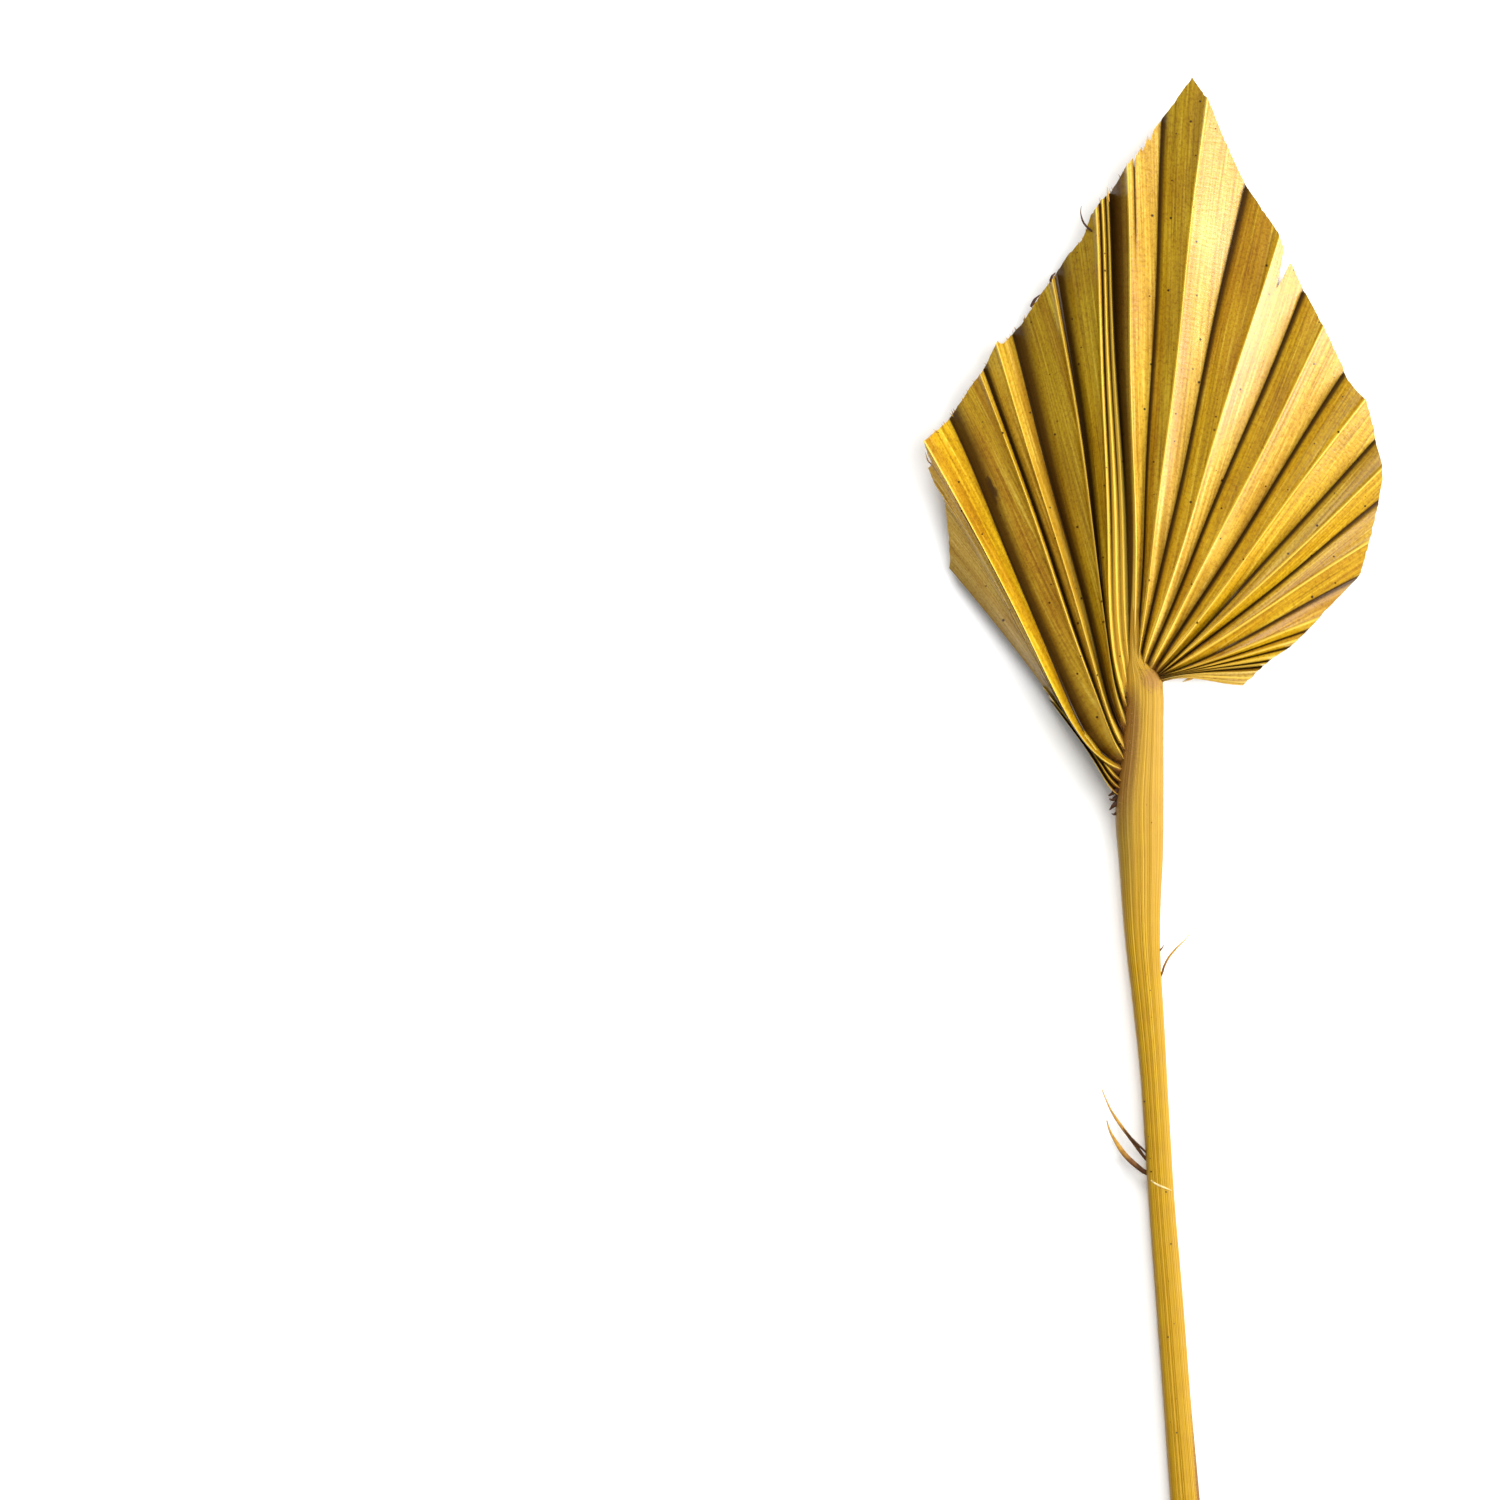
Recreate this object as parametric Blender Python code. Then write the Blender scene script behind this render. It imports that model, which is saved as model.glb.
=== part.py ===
"""Fan palm leaf, dried, trimmed to a spear and dyed yellow, lying face up.

The pleated blade, its stalk and the torn fibres grew as one piece, so they are one body.
+Y runs from the cut end of the stalk to the tip, +X to the right of the face, +Z up.
While modelling, x and y are millimetres from the heart, where the folds meet the stalk,
and z is millimetres above the surface the leaf lies on.
"""
import math

import bmesh
import bpy
import numpy as np

MM = 0.001

# Driving dimensions of the blade: thickness of the sheet, height of the roots of the folds,
# how far ridges and valleys part there, and how far a fold arches between root and end
BLADE_THICKNESS = 0.62
ROOT_HEIGHT = 7.4
ROOT_PLEAT = 0.8
FOLD_ARCH = 1.6

# A panel wider than this many degrees gets two lines part way across. Lines stay this many
# millimetres apart at the cut edge, and the sheet is thickened upright for slopes up to this.
WIDE_PANEL = 2.55
CLOSEST_COLUMNS = 0.7
STEEPEST = 6.0

# Folds from the lower left edge round to the right margin: bearing from the heart in degrees
# clockwise from the tip direction, and height of the fold where it meets the cut edge.
# Valleys and ridges take turns; the plain crease by the left corner is the one exception.
FOLDS = (
    (-58.4, 3.6), (-47.5, 9.0), (-42.2, 14.0), (-36.4, 6.0), (-28.2, 12.8),
    (-27.2, 6.6), (-24.0, 10.4), (-21.0, 0.8), (-13.3, 9.4), (-12.6, 2.8),
    (-6.7, 9.6), (-6.3, 6.6), (-5.9, 10.2), (-5.5, 7.0), (-5.0, 11.0),
    (-4.5, 4.2), (-2.6, 12.0), (1.4, 5.0), (5.4, 11.4), (10.7, 3.2),
    (15.8, 10.2), (21.1, 2.6), (25.6, 8.8), (31.7, 0.5), (36.4, 7.4),
    (42.0, 2.0), (46.4, 8.2), (50.6, 4.4), (56.0, 8.6), (61.3, 5.8),
    (66.6, 9.4), (69.0, 7.8), (71.0, 9.8), (73.0, 8.2), (75.0, 10.2),
    (76.5, 8.4), (77.8, 10.0), (79.0, 8.2), (80.0, 9.8), (81.2, 6.0),
    (83.4, 8.8), (87.5, 6.2),
)
CREASE = 1
LAST_LEFT_FOLD = 15

# Short folds tucked in below the lower left edge, outermost first: x, y and height of the end,
# then the share of the way up the left roots
TUCK = (
    (-27.1, -3.9, 6.4, 0.0), (-27.9, -2.9, 4.8, 0.05), (-28.2, -1.4, 7.0, 0.1),
    (-28.9, -0.6, 5.2, 0.15), (-29.9, 0.9, 7.6, 0.2), (-24.0, 2.4, 3.2, 0.3),
)

# Cut outline from the lower left corner over the tip to the right margin
OUTLINE = (
    (-56.0, 34.4), (-55.7, 37.8), (-57.1, 47.6), (-58.0, 54.0), (-60.2, 57.4), (-62.4, 65.8),
    (-63.6, 69.7), (-57.4, 74.8), (-50.4, 84.6), (-46.2, 90.2), (-42.9, 97.6), (-41.2, 97.0),
    (-35.3, 103.9), (-30.8, 110.6), (-28.0, 114.0), (-26.6, 115.9), (-22.4, 122.4),
    (-18.8, 126.6), (-16.8, 133.0), (-14.0, 137.2), (-11.5, 139.2), (-7.0, 146.4),
    (-4.8, 149.0), (-2.2, 152.0), (0.0, 155.4), (3.9, 160.4), (7.8, 166.0), (11.5, 171.6),
    (16.0, 165.2), (22.4, 150.6), (26.3, 142.8), (31.9, 133.8), (35.6, 128.2), (37.5, 123.8),
    (35.3, 112.0), (39.2, 120.4), (42.0, 114.8), (44.0, 111.2), (49.0, 101.4), (54.6, 91.0),
    (56.0, 86.8), (60.5, 81.2), (62.7, 74.2), (65.2, 63.0), (65.5, 58.8), (64.4, 51.8),
    (62.2, 43.4), (59.1, 33.0), (58.0, 31.4), (50.4, 23.8), (43.4, 16.2), (39.2, 12.0),
    (33.6, 8.1), (28.8, 3.6), (26.0, 1.4),
)

# Where the folds are rooted: down the left side of the stalk, and along its right shoulder
FIRST_ROOT_SHARE = 0.25
LEFT_ROOTS = ((-9.6, -29.4), (-7.6, -23.0), (-7.0, -14.0), (-5.0, 1.0))
RIGHT_ROOTS = ((-3.6, 5.6), (-1.0, 4.0), (2.6, 2.4))

# Sideways bow of a fold two thirds of the way in, by bearing; minus bows to the left
TUCK_BOW = -0.5
BOWS = ((-58.4, -0.9), (-42.2, -2.4), (-28.0, -1.2), (31.7, -0.9), (87.5, -0.9))
ROWS = (0.0, 0.1, 0.22, 0.36, 0.5, 0.63, 0.75, 0.86, 0.94, 1.0)

# How far a panel has fallen from its ridge, part way across: it stays high by the ridge,
# then hollows towards the valley
PANEL_PROFILE = ((0.0, 0.0), (0.22, 0.34), (0.6, 0.74), (1.0, 1.0))

# Stalk stations from the strip inside the blade to the cut end:
# y, x of the middle, half width, half height, height of the underside
STALK = (
    (22.4, -4.6, 0.7, 0.9, 6.9), (14.0, -4.6, 1.2, 1.5, 6.2), (8.4, -4.2, 2.1, 2.2, 5.2),
    (4.2, -2.5, 4.1, 2.9, 4.4), (2.0, -1.4, 5.2, 3.3, 4.0), (-2.8, -1.3, 5.3, 3.4, 3.8),
    (-14.0, -1.7, 5.6, 3.5, 3.6), (-28.0, -2.7, 6.7, 3.6, 3.4), (-34.2, -3.1, 7.0, 3.6, 3.3),
    (-44.8, -2.4, 6.4, 3.5, 3.1), (-58.8, -2.4, 5.5, 3.4, 2.9), (-72.8, -1.9, 4.8, 3.3, 2.6),
    (-86.8, -0.5, 4.3, 3.2, 2.3), (-98.8, 0.5, 4.1, 3.1, 2.0), (-102.8, 0.9, 3.8, 3.1, 1.9),
    (-123.2, 2.2, 3.7, 3.0, 1.4), (-142.8, 3.4, 3.7, 3.0, 1.0), (-170.8, 5.7, 3.9, 3.0, 0.5),
    (-198.8, 7.8, 3.9, 3.1, 0.2), (-226.8, 10.1, 4.2, 3.2, 0.0), (-252.8, 12.2, 4.3, 3.2, 0.0),
    (-278.9, 14.3, 4.5, 3.3, 0.0),
)
STALK_SIDES = 30
STALK_RIBS = 9
RIB_DEPTH = 0.22
UNDERSIDE_FLAT = 0.8
STALK_STEP = 9.0

# Torn fibres on the stalk: points from the sunk root to the tip, then the root radius.
# Three slivers on the left, two of them leaving close together, and one on the right.
FIBRES = (
    (((1.2, -135.4, 3.6), (-4.2, -133.0, 4.4), (-7.8, -128.8, 4.8), (-10.6, -124.0, 4.6),
      (-11.8, -120.4, 4.0)), 0.75),
    (((0.8, -131.4, 4.4), (-4.9, -126.8, 5.2), (-8.0, -121.8, 5.8), (-9.9, -118.0, 5.9),
      (-12.0, -114.6, 5.6), (-13.3, -111.2, 5.0)), 0.8),
    (((1.2, -129.0, 3.4), (-3.6, -127.6, 3.6), (-6.9, -123.4, 3.8), (-8.4, -120.4, 4.0)), 0.6),
    (((2.0, -82.0, 5.0), (4.6, -77.0, 5.6), (6.2, -73.6, 6.4), (8.4, -71.6, 7.2),
      (10.6, -68.6, 7.6)), 0.6),
)
FIBRE_SIDES = 6
FIBRE_TIP = 0.3


def clear_scene():
    """Empty the file of whatever it starts with."""
    for item in list(bpy.data.objects):
        bpy.data.objects.remove(item, do_unlink=True)


def bearing_of(point):
    """Degrees clockwise from +Y, seen from above."""
    return math.degrees(math.atan2(point[0], point[1]))


def along(points, share):
    """Point at a share of the way through a row of points, equal steps between them."""
    place = share * (len(points) - 1)
    index = min(int(place), len(points) - 2)
    part = place - index
    start = np.array(points[index])
    return start + (np.array(points[index + 1]) - start) * part


def fold_root(number):
    """Root of a fold, or of a line between two folds, by its place in the row of folds."""
    if number <= LAST_LEFT_FOLD:
        share = FIRST_ROOT_SHARE + (1.0 - FIRST_ROOT_SHARE) * number / LAST_LEFT_FOLD
        return along(LEFT_ROOTS, share)
    first_right = LAST_LEFT_FOLD + 1
    last = len(FOLDS) - 1
    if number < first_right:
        part = number - LAST_LEFT_FOLD
        return along((LEFT_ROOTS[-1], RIGHT_ROOTS[0]), part)
    return along(RIGHT_ROOTS, (number - first_right) / (last - first_right))


def cut_point(bearing):
    """Point where a line from the heart meets the cut outline."""
    bearings = [bearing_of(point) for point in OUTLINE]
    bearing = min(max(bearing, bearings[0]), bearings[-1])
    index = max(i for i in range(len(bearings) - 1) if i == 0 or bearings[i] <= bearing)
    a = np.array(OUTLINE[index])
    b = np.array(OUTLINE[index + 1])
    direction = np.array((math.sin(math.radians(bearing)), math.cos(math.radians(bearing))))
    edge = b - a
    across = direction[0] * edge[1] - direction[1] * edge[0]
    reach = (a[0] * edge[1] - a[1] * edge[0]) / across
    return direction * reach


def is_ridge(number):
    """Ridges and valleys take turns on both sides of the plain crease."""
    if number == CREASE:
        return None
    return number > CREASE and number % 2 == 0


def root_height(number):
    """Ridges leave the stalk a little higher than valleys."""
    ridge = is_ridge(number)
    if ridge is None:
        return ROOT_HEIGHT
    spread = ROOT_PLEAT if number <= LAST_LEFT_FOLD else 0.5 * ROOT_PLEAT
    return ROOT_HEIGHT + (spread if ridge else -spread)


def panel_share(left, part):
    """Share of the height difference reached part way across the panel right of a fold."""
    xs, falls = zip(*PANEL_PROFILE)
    left_ridge = is_ridge(left)
    right_ridge = is_ridge(left + 1)
    if left_ridge is None or right_ridge is None:
        return part
    if left_ridge:
        return float(np.interp(part, xs, falls))
    return 1.0 - float(np.interp(1.0 - part, xs, falls))


def columns():
    """Lines from the cut edge to the root: every fold, every outline corner, and fill-ins."""
    bearings = [fold[0] for fold in FOLDS]
    wanted = [bearing_of(point) for point in OUTLINE]
    for number, (left, right) in enumerate(zip(bearings, bearings[1:])):
        if right - left < WIDE_PANEL:
            continue
        for step, _ in PANEL_PROFILE[1:-1]:
            share = step if is_ridge(number) else 1.0 - step
            wanted.append(left + (right - left) * share)
    kept = list(bearings)
    for bearing in wanted:
        if not bearings[0] < bearing < bearings[-1]:
            continue
        spacing = math.radians(min(abs(bearing - other) for other in kept))
        if spacing * np.linalg.norm(cut_point(bearing)) > CLOSEST_COLUMNS:
            kept.append(bearing)
    return sorted(kept)


def column_points(bearing):
    """Middle of the blade down one column, from the cut edge to the root."""
    bearings = [fold[0] for fold in FOLDS]
    left = min(max(i for i in range(len(bearings)) if bearings[i] <= bearing + 1e-9),
               len(FOLDS) - 2)
    part = (bearing - bearings[left]) / (bearings[left + 1] - bearings[left])
    share = panel_share(left, part)
    end = cut_point(bearing)
    root = fold_root(left + part)
    inward = root - end
    reach = np.linalg.norm(inward)
    clockwise = np.array((-inward[1], inward[0])) / reach
    bow = np.interp(bearing, *zip(*BOWS))
    full = [np.linalg.norm(fold_root(n) - cut_point(bearings[n])) for n in (left, left + 1)]
    slopes = [(FOLDS[n][1] - root_height(n)) / length for n, length in zip((left, left + 1), full)]
    points = []
    for row in ROWS:
        flat = end + inward * row + clockwise * bow * 6.75 * row * row * (1.0 - row)
        distance = reach * (1.0 - row)
        low = root_height(left) + slopes[0] * distance
        high = root_height(left + 1) + slopes[1] * distance
        arch = FOLD_ARCH * math.sin(math.pi * row)
        points.append((flat[0], flat[1], low + (high - low) * share + arch))
    return points


def mesh_object(name, vertices, faces):
    """New object from points in millimetres, with its faces turned outward."""
    mesh = bpy.data.meshes.new(name)
    mesh.from_pydata([tuple(c * MM for c in vertex) for vertex in vertices], [], faces)
    work = bmesh.new()
    work.from_mesh(mesh)
    bmesh.ops.recalc_face_normals(work, faces=work.faces)
    work.to_mesh(mesh)
    work.free()
    made = bpy.data.objects.new(name, mesh)
    bpy.context.collection.objects.link(made)
    return made


def steepness(grid, triangles):
    """For each point, the largest one over cosine of the tilt of the triangles round it."""
    steep = np.ones(len(grid))
    for triangle in triangles:
        a, b, c = (grid[i] for i in triangle)
        normal = np.cross(b - a, c - a)
        stretch = np.linalg.norm(normal) / abs(normal[2])
        for i in triangle:
            steep[i] = min(max(steep[i], stretch), STEEPEST)
    return steep


def tuck_points(end_x, end_y, end_height, share):
    """Middle of the tucked pleats down one of their folds, from the cut edge to the root."""
    end = np.array((end_x, end_y))
    inward = along(LEFT_ROOTS, share) - end
    clockwise = np.array((-inward[1], inward[0])) / np.linalg.norm(inward)
    points = []
    for row in ROWS:
        flat = end + inward * row + clockwise * TUCK_BOW * 6.75 * row * row * (1.0 - row)
        height = end_height + (ROOT_HEIGHT - end_height) * row
        points.append((flat[0], flat[1], height))
    return points


def make_sheet(name, lines):
    """Pleated sheet with matching triangles on its face and its back."""
    wide = len(lines)
    tall = len(ROWS)
    grid = np.array([point for line in lines for point in line])
    triangles = []
    for i in range(wide - 1):
        for j in range(tall - 1):
            a = i * tall + j
            b = a + tall
            triangles.append((a, a + 1, b + 1))
            triangles.append((a, b + 1, b))
    half = 0.5 * BLADE_THICKNESS * steepness(grid, triangles)
    over = grid + np.column_stack((np.zeros((len(grid), 2)), half))
    under = grid - np.column_stack((np.zeros((len(grid), 2)), half))
    count = len(grid)
    faces = [tuple(t) for t in triangles]
    faces += [tuple(i + count for i in reversed(t)) for t in triangles]
    rim = [j for j in range(tall)]
    rim += [i * tall + tall - 1 for i in range(1, wide)]
    rim += [(wide - 1) * tall + j for j in range(tall - 2, -1, -1)]
    rim += [i * tall for i in range(wide - 2, 0, -1)]
    for a, b in zip(rim, rim[1:] + rim[:1]):
        faces.append((a, a + count, b + count))
        faces.append((a, b + count, b))
    return mesh_object(name, np.vstack((over, under)), faces)


def tube(name, rings):
    """Closed skin over a row of rings with equal point counts."""
    sides = len(rings[0])
    vertices = [point for ring in rings for point in ring]
    faces = []
    for k in range(len(rings) - 1):
        for i in range(sides):
            a = k * sides + i
            b = k * sides + (i + 1) % sides
            faces.append((a, b, b + sides, a + sides))
    faces.append(tuple(range(sides)))
    faces.append(tuple(range((len(rings) - 1) * sides, len(rings) * sides)))
    return mesh_object(name, vertices, faces)


def make_stalk():
    """Ribbed stalk, flat underneath, running up into the blade as a narrow strip."""
    table = np.array(STALK)
    ys = table[:, 0]
    stations = []
    for upper, lower in zip(ys, ys[1:]):
        pieces = max(1, math.ceil((upper - lower) / STALK_STEP))
        stations += [upper + (lower - upper) * k / pieces for k in range(pieces)]
    stations.append(ys[-1])
    rings = []
    for y in stations:
        x, wide, tall, base = (np.interp(-y, -ys, table[:, c]) for c in range(1, 5))
        ring = []
        for i in range(STALK_SIDES):
            angle = 2.0 * math.pi * i / STALK_SIDES
            rib = 1.0 - RIB_DEPTH / wide * (0.5 + 0.5 * math.cos(STALK_RIBS * angle))
            rib = max(rib, 0.72)
            side = wide * math.cos(angle) * rib
            rise = tall * math.sin(angle) * rib
            rise = max(rise, -UNDERSIDE_FLAT * tall)
            ring.append((x + side, y, base + UNDERSIDE_FLAT * tall + rise))
        rings.append(ring)
    return tube("stalk", rings)


def make_fibre(name, path, radius):
    """Tapered sliver along a path."""
    points = [np.array(p) for p in path]
    rings = []
    for k, point in enumerate(points):
        ahead = points[min(k + 1, len(points) - 1)] - points[max(k - 1, 0)]
        ahead = ahead / np.linalg.norm(ahead)
        side = np.cross(ahead, (0.0, 0.0, 1.0))
        side = side / np.linalg.norm(side)
        up = np.cross(side, ahead)
        size = radius + (FIBRE_TIP - radius) * k / (len(points) - 1)
        ring = []
        for i in range(FIBRE_SIDES):
            angle = 2.0 * math.pi * i / FIBRE_SIDES
            ring.append(point + side * size * math.cos(angle) + up * size * math.sin(angle))
        rings.append(ring)
    return tube(name, rings)


def leaf_material():
    """Yellow dye soaked into dry leaf."""
    material = bpy.data.materials.new("dyed_leaf")
    material.use_nodes = True
    skin = material.node_tree.nodes["Principled BSDF"]
    skin.inputs["Base Color"].default_value = (0.68, 0.41, 0.045, 1.0)
    skin.inputs["Roughness"].default_value = 0.55
    skin.inputs["Metallic"].default_value = 0.0
    return material


def join_to(leaf, other):
    """Fuse another closed piece into the leaf and take it out of the scene."""
    union = leaf.modifiers.new("fuse_" + other.name, "BOOLEAN")
    union.operation = "UNION"
    union.solver = "EXACT"
    union.object = other
    bpy.context.view_layer.update()
    shape = leaf.evaluated_get(bpy.context.evaluated_depsgraph_get())
    fused = bpy.data.meshes.new_from_object(shape)
    leaf.modifiers.clear()
    leaf.data = fused
    bpy.data.objects.remove(other, do_unlink=True)


def settle(leaf):
    """Put the origin under the middle of the leaf, on the surface it lies on."""
    corners = np.array([vertex.co for vertex in leaf.data.vertices])
    low = corners.min(axis=0)
    high = corners.max(axis=0)
    shift = np.array(((low[0] + high[0]) / 2.0, (low[1] + high[1]) / 2.0, 0.0))
    for vertex in leaf.data.vertices:
        vertex.co = [vertex.co[axis] - shift[axis] for axis in range(3)]


clear_scene()
leaf = make_sheet("fan_palm_leaf", [column_points(bearing) for bearing in columns()])
join_to(leaf, make_sheet("tuck", [tuck_points(*fold) for fold in TUCK]))
join_to(leaf, make_stalk())
for order, (path, radius) in enumerate(FIBRES):
    join_to(leaf, make_fibre("fibre_" + str(order + 1), path, radius))
settle(leaf)
leaf.data.materials.clear()
leaf.data.materials.append(leaf_material())
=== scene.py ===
"""Fan palm leaf, dried, trimmed to a spear and dyed yellow, lying face up on a pale table.

x and y are millimetres from the heart, where the folds meet the stalk, and z is millimetres
above the table, until a piece is made; then its place in the frame is worked out from the box
of the solid leaf.
"""
import math

import bmesh
import bpy
import numpy as np
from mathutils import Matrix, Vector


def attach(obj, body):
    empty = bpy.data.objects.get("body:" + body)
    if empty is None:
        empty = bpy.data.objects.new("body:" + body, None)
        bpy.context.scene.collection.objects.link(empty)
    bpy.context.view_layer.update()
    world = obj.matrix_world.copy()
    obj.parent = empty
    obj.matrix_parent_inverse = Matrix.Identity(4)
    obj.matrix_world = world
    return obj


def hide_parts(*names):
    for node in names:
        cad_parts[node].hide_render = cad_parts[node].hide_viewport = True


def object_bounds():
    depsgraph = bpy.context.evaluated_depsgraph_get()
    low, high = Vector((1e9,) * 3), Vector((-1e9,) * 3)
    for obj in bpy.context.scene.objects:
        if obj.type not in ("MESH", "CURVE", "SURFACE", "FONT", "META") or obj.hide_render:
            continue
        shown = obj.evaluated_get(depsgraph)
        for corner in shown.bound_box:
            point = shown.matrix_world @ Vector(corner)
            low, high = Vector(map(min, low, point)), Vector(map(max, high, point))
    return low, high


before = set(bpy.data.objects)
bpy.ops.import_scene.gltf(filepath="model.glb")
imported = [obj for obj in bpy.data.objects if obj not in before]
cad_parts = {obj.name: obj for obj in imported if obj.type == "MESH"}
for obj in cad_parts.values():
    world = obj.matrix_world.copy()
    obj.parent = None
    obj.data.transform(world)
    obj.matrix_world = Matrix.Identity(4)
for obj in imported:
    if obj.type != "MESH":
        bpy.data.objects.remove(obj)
SOLID_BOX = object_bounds()
MM = 0.001

# The tip and the right edge of the blade fix where the heart lies in the frame
TIP_Y = 171.6
RIGHT_EDGE_X = 65.5
HEART = np.array((SOLID_BOX[1][0] / MM - RIGHT_EDGE_X, SOLID_BOX[1][1] / MM - TIP_Y, 0.0))

# Blade sheet, and half the height of its pleats where the folds leave the stalk
BLADE_THICKNESS = 0.36
ROOT_HEIGHT = 8.4
LEFT_ROOT_PLEAT = 2.3
BUNCH_ROOT_PLEAT = 1.2
RIGHT_ROOT_PLEAT = 1.0
RELIEF_GROWTH = 0.7
# Sideways hook of a fold close to its root: bearing, size and how far out it is greatest
HOOKS = ((-58.4, 1.6, 8.0), (-47.5, 2.6, 12.0), (-42.2, 3.4, 13.0), (-36.4, 3.8, 13.0),
         (-28.2, 0.8, 7.0), (-12.6, 1.9, 15.0), (-6.55, 2.4, 22.0), (-5.75, 1.5, 19.0),
         (-5.1, 0.8, 14.0), (-4.7, 0.5, 8.0), (0.0, 0.5, 6.0), (25.0, 0.2, 6.0),
         (40.0, 0.0, 6.0))
# Folds dive into the stalk at the root and arch a little between the root and the cut
ROOT_DIVE = 1.6
DIVE_REACH = 2.2
FOLD_ARCH = 1.2
STEEPEST = 7.0
BLADE_ROWS = 72
# Rows lie closer together toward the root when this is below one
ROW_CROWDING = 0.85
# A bow follows row * row * (1 - row), which is 4 / 27 at its greatest
BOW_PEAK = 27.0 / 4.0
# Closer to the root than this the veins keep their width
VEINS_KEPT = 12.0
# Edges steeper than this many degrees stay sharp
BLADE_SHARP = 32.0
STALK_SHARP = 50.0

# Folds from the lower left edge round to the right margin: bearing from the heart in degrees
# clockwise from the tip direction, height where the fold meets the cut edge, and how olive
# and how tan the panel after it is painted. The olive is painted shade on panels that face away
# from the lamps; the tan is a paler dried dye, and on the panels facing the key lamp a painted
# highlight.
FOLDS = (
    (-58.4, 3.6, 0.1, 0.85), (-47.5, 9.0, 0.0, 0.8), (-42.2, 14.0, 0.0, 0.0),
    (-36.4, 6.0, 0.2, 0.1), (-28.2, 12.8, 0.0, 0.1), (-27.2, 6.6, 0.55, 0.2),
    (-24.0, 10.4, 0.0, 0.3), (-21.0, 0.8, 0.7, 0.0), (-13.3, 9.4, 0.0, 0.3),
    (-12.6, 2.8, 0.8, 0.0), (-6.55, 10.8, 0.0, 0.5), (-6.05, 9.4, 0.3, 0.0),
    (-5.75, 10.4, 0.0, 0.5), (-5.3, 9.2, 0.3, 0.0), (-5.1, 10.0, 0.0, 0.5),
    (-4.7, 4.2, 0.2, 0.1), (-2.6, 12.0, 0.0, 0.3), (1.4, 5.0, 0.6, 0.0),
    (5.4, 11.4, 0.0, 0.5), (10.7, 3.2, 0.2, 0.0), (15.8, 10.2, 0.0, 0.5),
    (21.1, 2.6, 0.15, 0.0), (25.6, 8.8, 0.0, 0.35), (31.7, 0.5, 0.1, 0.0),
    (36.4, 7.4, 0.0, 0.0), (42.0, 2.0, 0.45, 0.2), (46.4, 8.2, 0.0, 0.0),
    (50.6, 4.4, 0.15, 0.1), (56.0, 8.6, 0.0, 0.0), (61.3, 5.8, 0.0, 0.1),
    (66.6, 9.4, 0.0, 0.0), (69.0, 7.8, 0.1, 0.0), (71.0, 9.8, 0.0, 0.0),
    (73.0, 8.2, 0.1, 0.1), (75.0, 10.2, 0.0, 0.0), (76.5, 8.4, 0.1, 0.1),
    (77.6, 10.0, 0.1, 0.1), (78.6, 3.4, 0.2, 0.4), (80.4, 9.6, 0.1, 0.8),
    (83.0, 8.8, 0.1, 0.8), (85.2, 8.6, 0.1, 0.8), (87.5, 6.4, 0.2, 0.7),
)
# Numbers of the plain creases, the last fold left of the strip and the narrow folds by it
CREASES = (1, 39, 40)
LAST_LEFT_FOLD = 15
BUNCH = range(10, 16)

# Short folds tucked in below the lower left edge, outermost first: x, y and height of the end,
# then the share of the way up the roots of the tucked folds
TUCK = (
    (-27.1, -3.9, 6.6, 0.0), (-27.9, -2.9, 3.2, 0.2), (-28.2, -1.4, 7.2, 0.4),
    (-28.9, -0.6, 3.2, 0.6), (-29.9, 0.9, 5.4, 0.8), (-26.0, 3.4, 1.6, 1.0),
)
TUCK_PLEAT = 1.7
TUCK_LINES = 6

# Cut outline from the lower left corner over the tip to the right margin, with a nibbled
# place on the left corner, a crack left of the tip and a slit on the right
OUTLINE = (
    (-56.0, 34.4), (-55.7, 37.8), (-57.1, 47.6), (-58.0, 54.0), (-60.2, 57.4), (-62.0, 62.2),
    (-61.0, 63.6), (-62.0, 65.8), (-63.3, 69.6), (-57.4, 74.8), (-50.4, 84.6), (-46.2, 90.2),
    (-42.9, 97.6), (-41.2, 97.0), (-35.3, 103.9), (-30.8, 110.6), (-28.0, 114.0),
    (-26.6, 115.9), (-22.4, 122.4), (-18.8, 126.6), (-16.8, 133.0), (-14.0, 137.2),
    (-11.5, 139.2), (-7.0, 146.4), (-4.9, 148.9), (-4.55, 146.0), (-4.39, 149.3), (-2.2, 152.0),
    (-1.9, 150.8), (-0.4, 155.2), (0.2, 153.6), (0.6, 156.0), (3.9, 160.4), (7.8, 166.0),
    (11.5, 171.6), (16.0, 165.2), (22.4, 150.6), (26.3, 142.8), (31.9, 133.8), (35.6, 128.2),
    (37.3, 123.8), (35.3, 112.0), (39.2, 120.4), (42.0, 114.8), (44.0, 111.2), (49.0, 101.4),
    (54.6, 91.0), (56.0, 86.8), (60.5, 81.2), (62.7, 74.2), (65.2, 63.0), (65.4, 58.8),
    (64.4, 51.8), (62.2, 43.4), (59.1, 33.0), (58.0, 31.4), (50.4, 23.8), (43.4, 16.2),
    (39.2, 12.0), (33.6, 8.1), (28.8, 3.6), (26.0, 1.4),
)
SLIT_FOOT = (35.3, 112.0)
# A thin crack runs down from a nick in the outline
CRACK_BEARING = -1.785
CRACK_HALF = 0.2
CRACK_FOOT = 119.0
CRACK_OPENING = 10.0
CRACK_DEPTH = 0.5
# Dark blotches on the blade: x, y and radius
BLOTCHES = ((-45.4, 58.3, 1.2), (-44.5, 56.3, 1.3), (-43.6, 54.8, 1.5), (-43.1, 53.0, 1.0))
NIBBLE_DEPTH = 0.28
NIBBLE_STEP = 0.9

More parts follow.
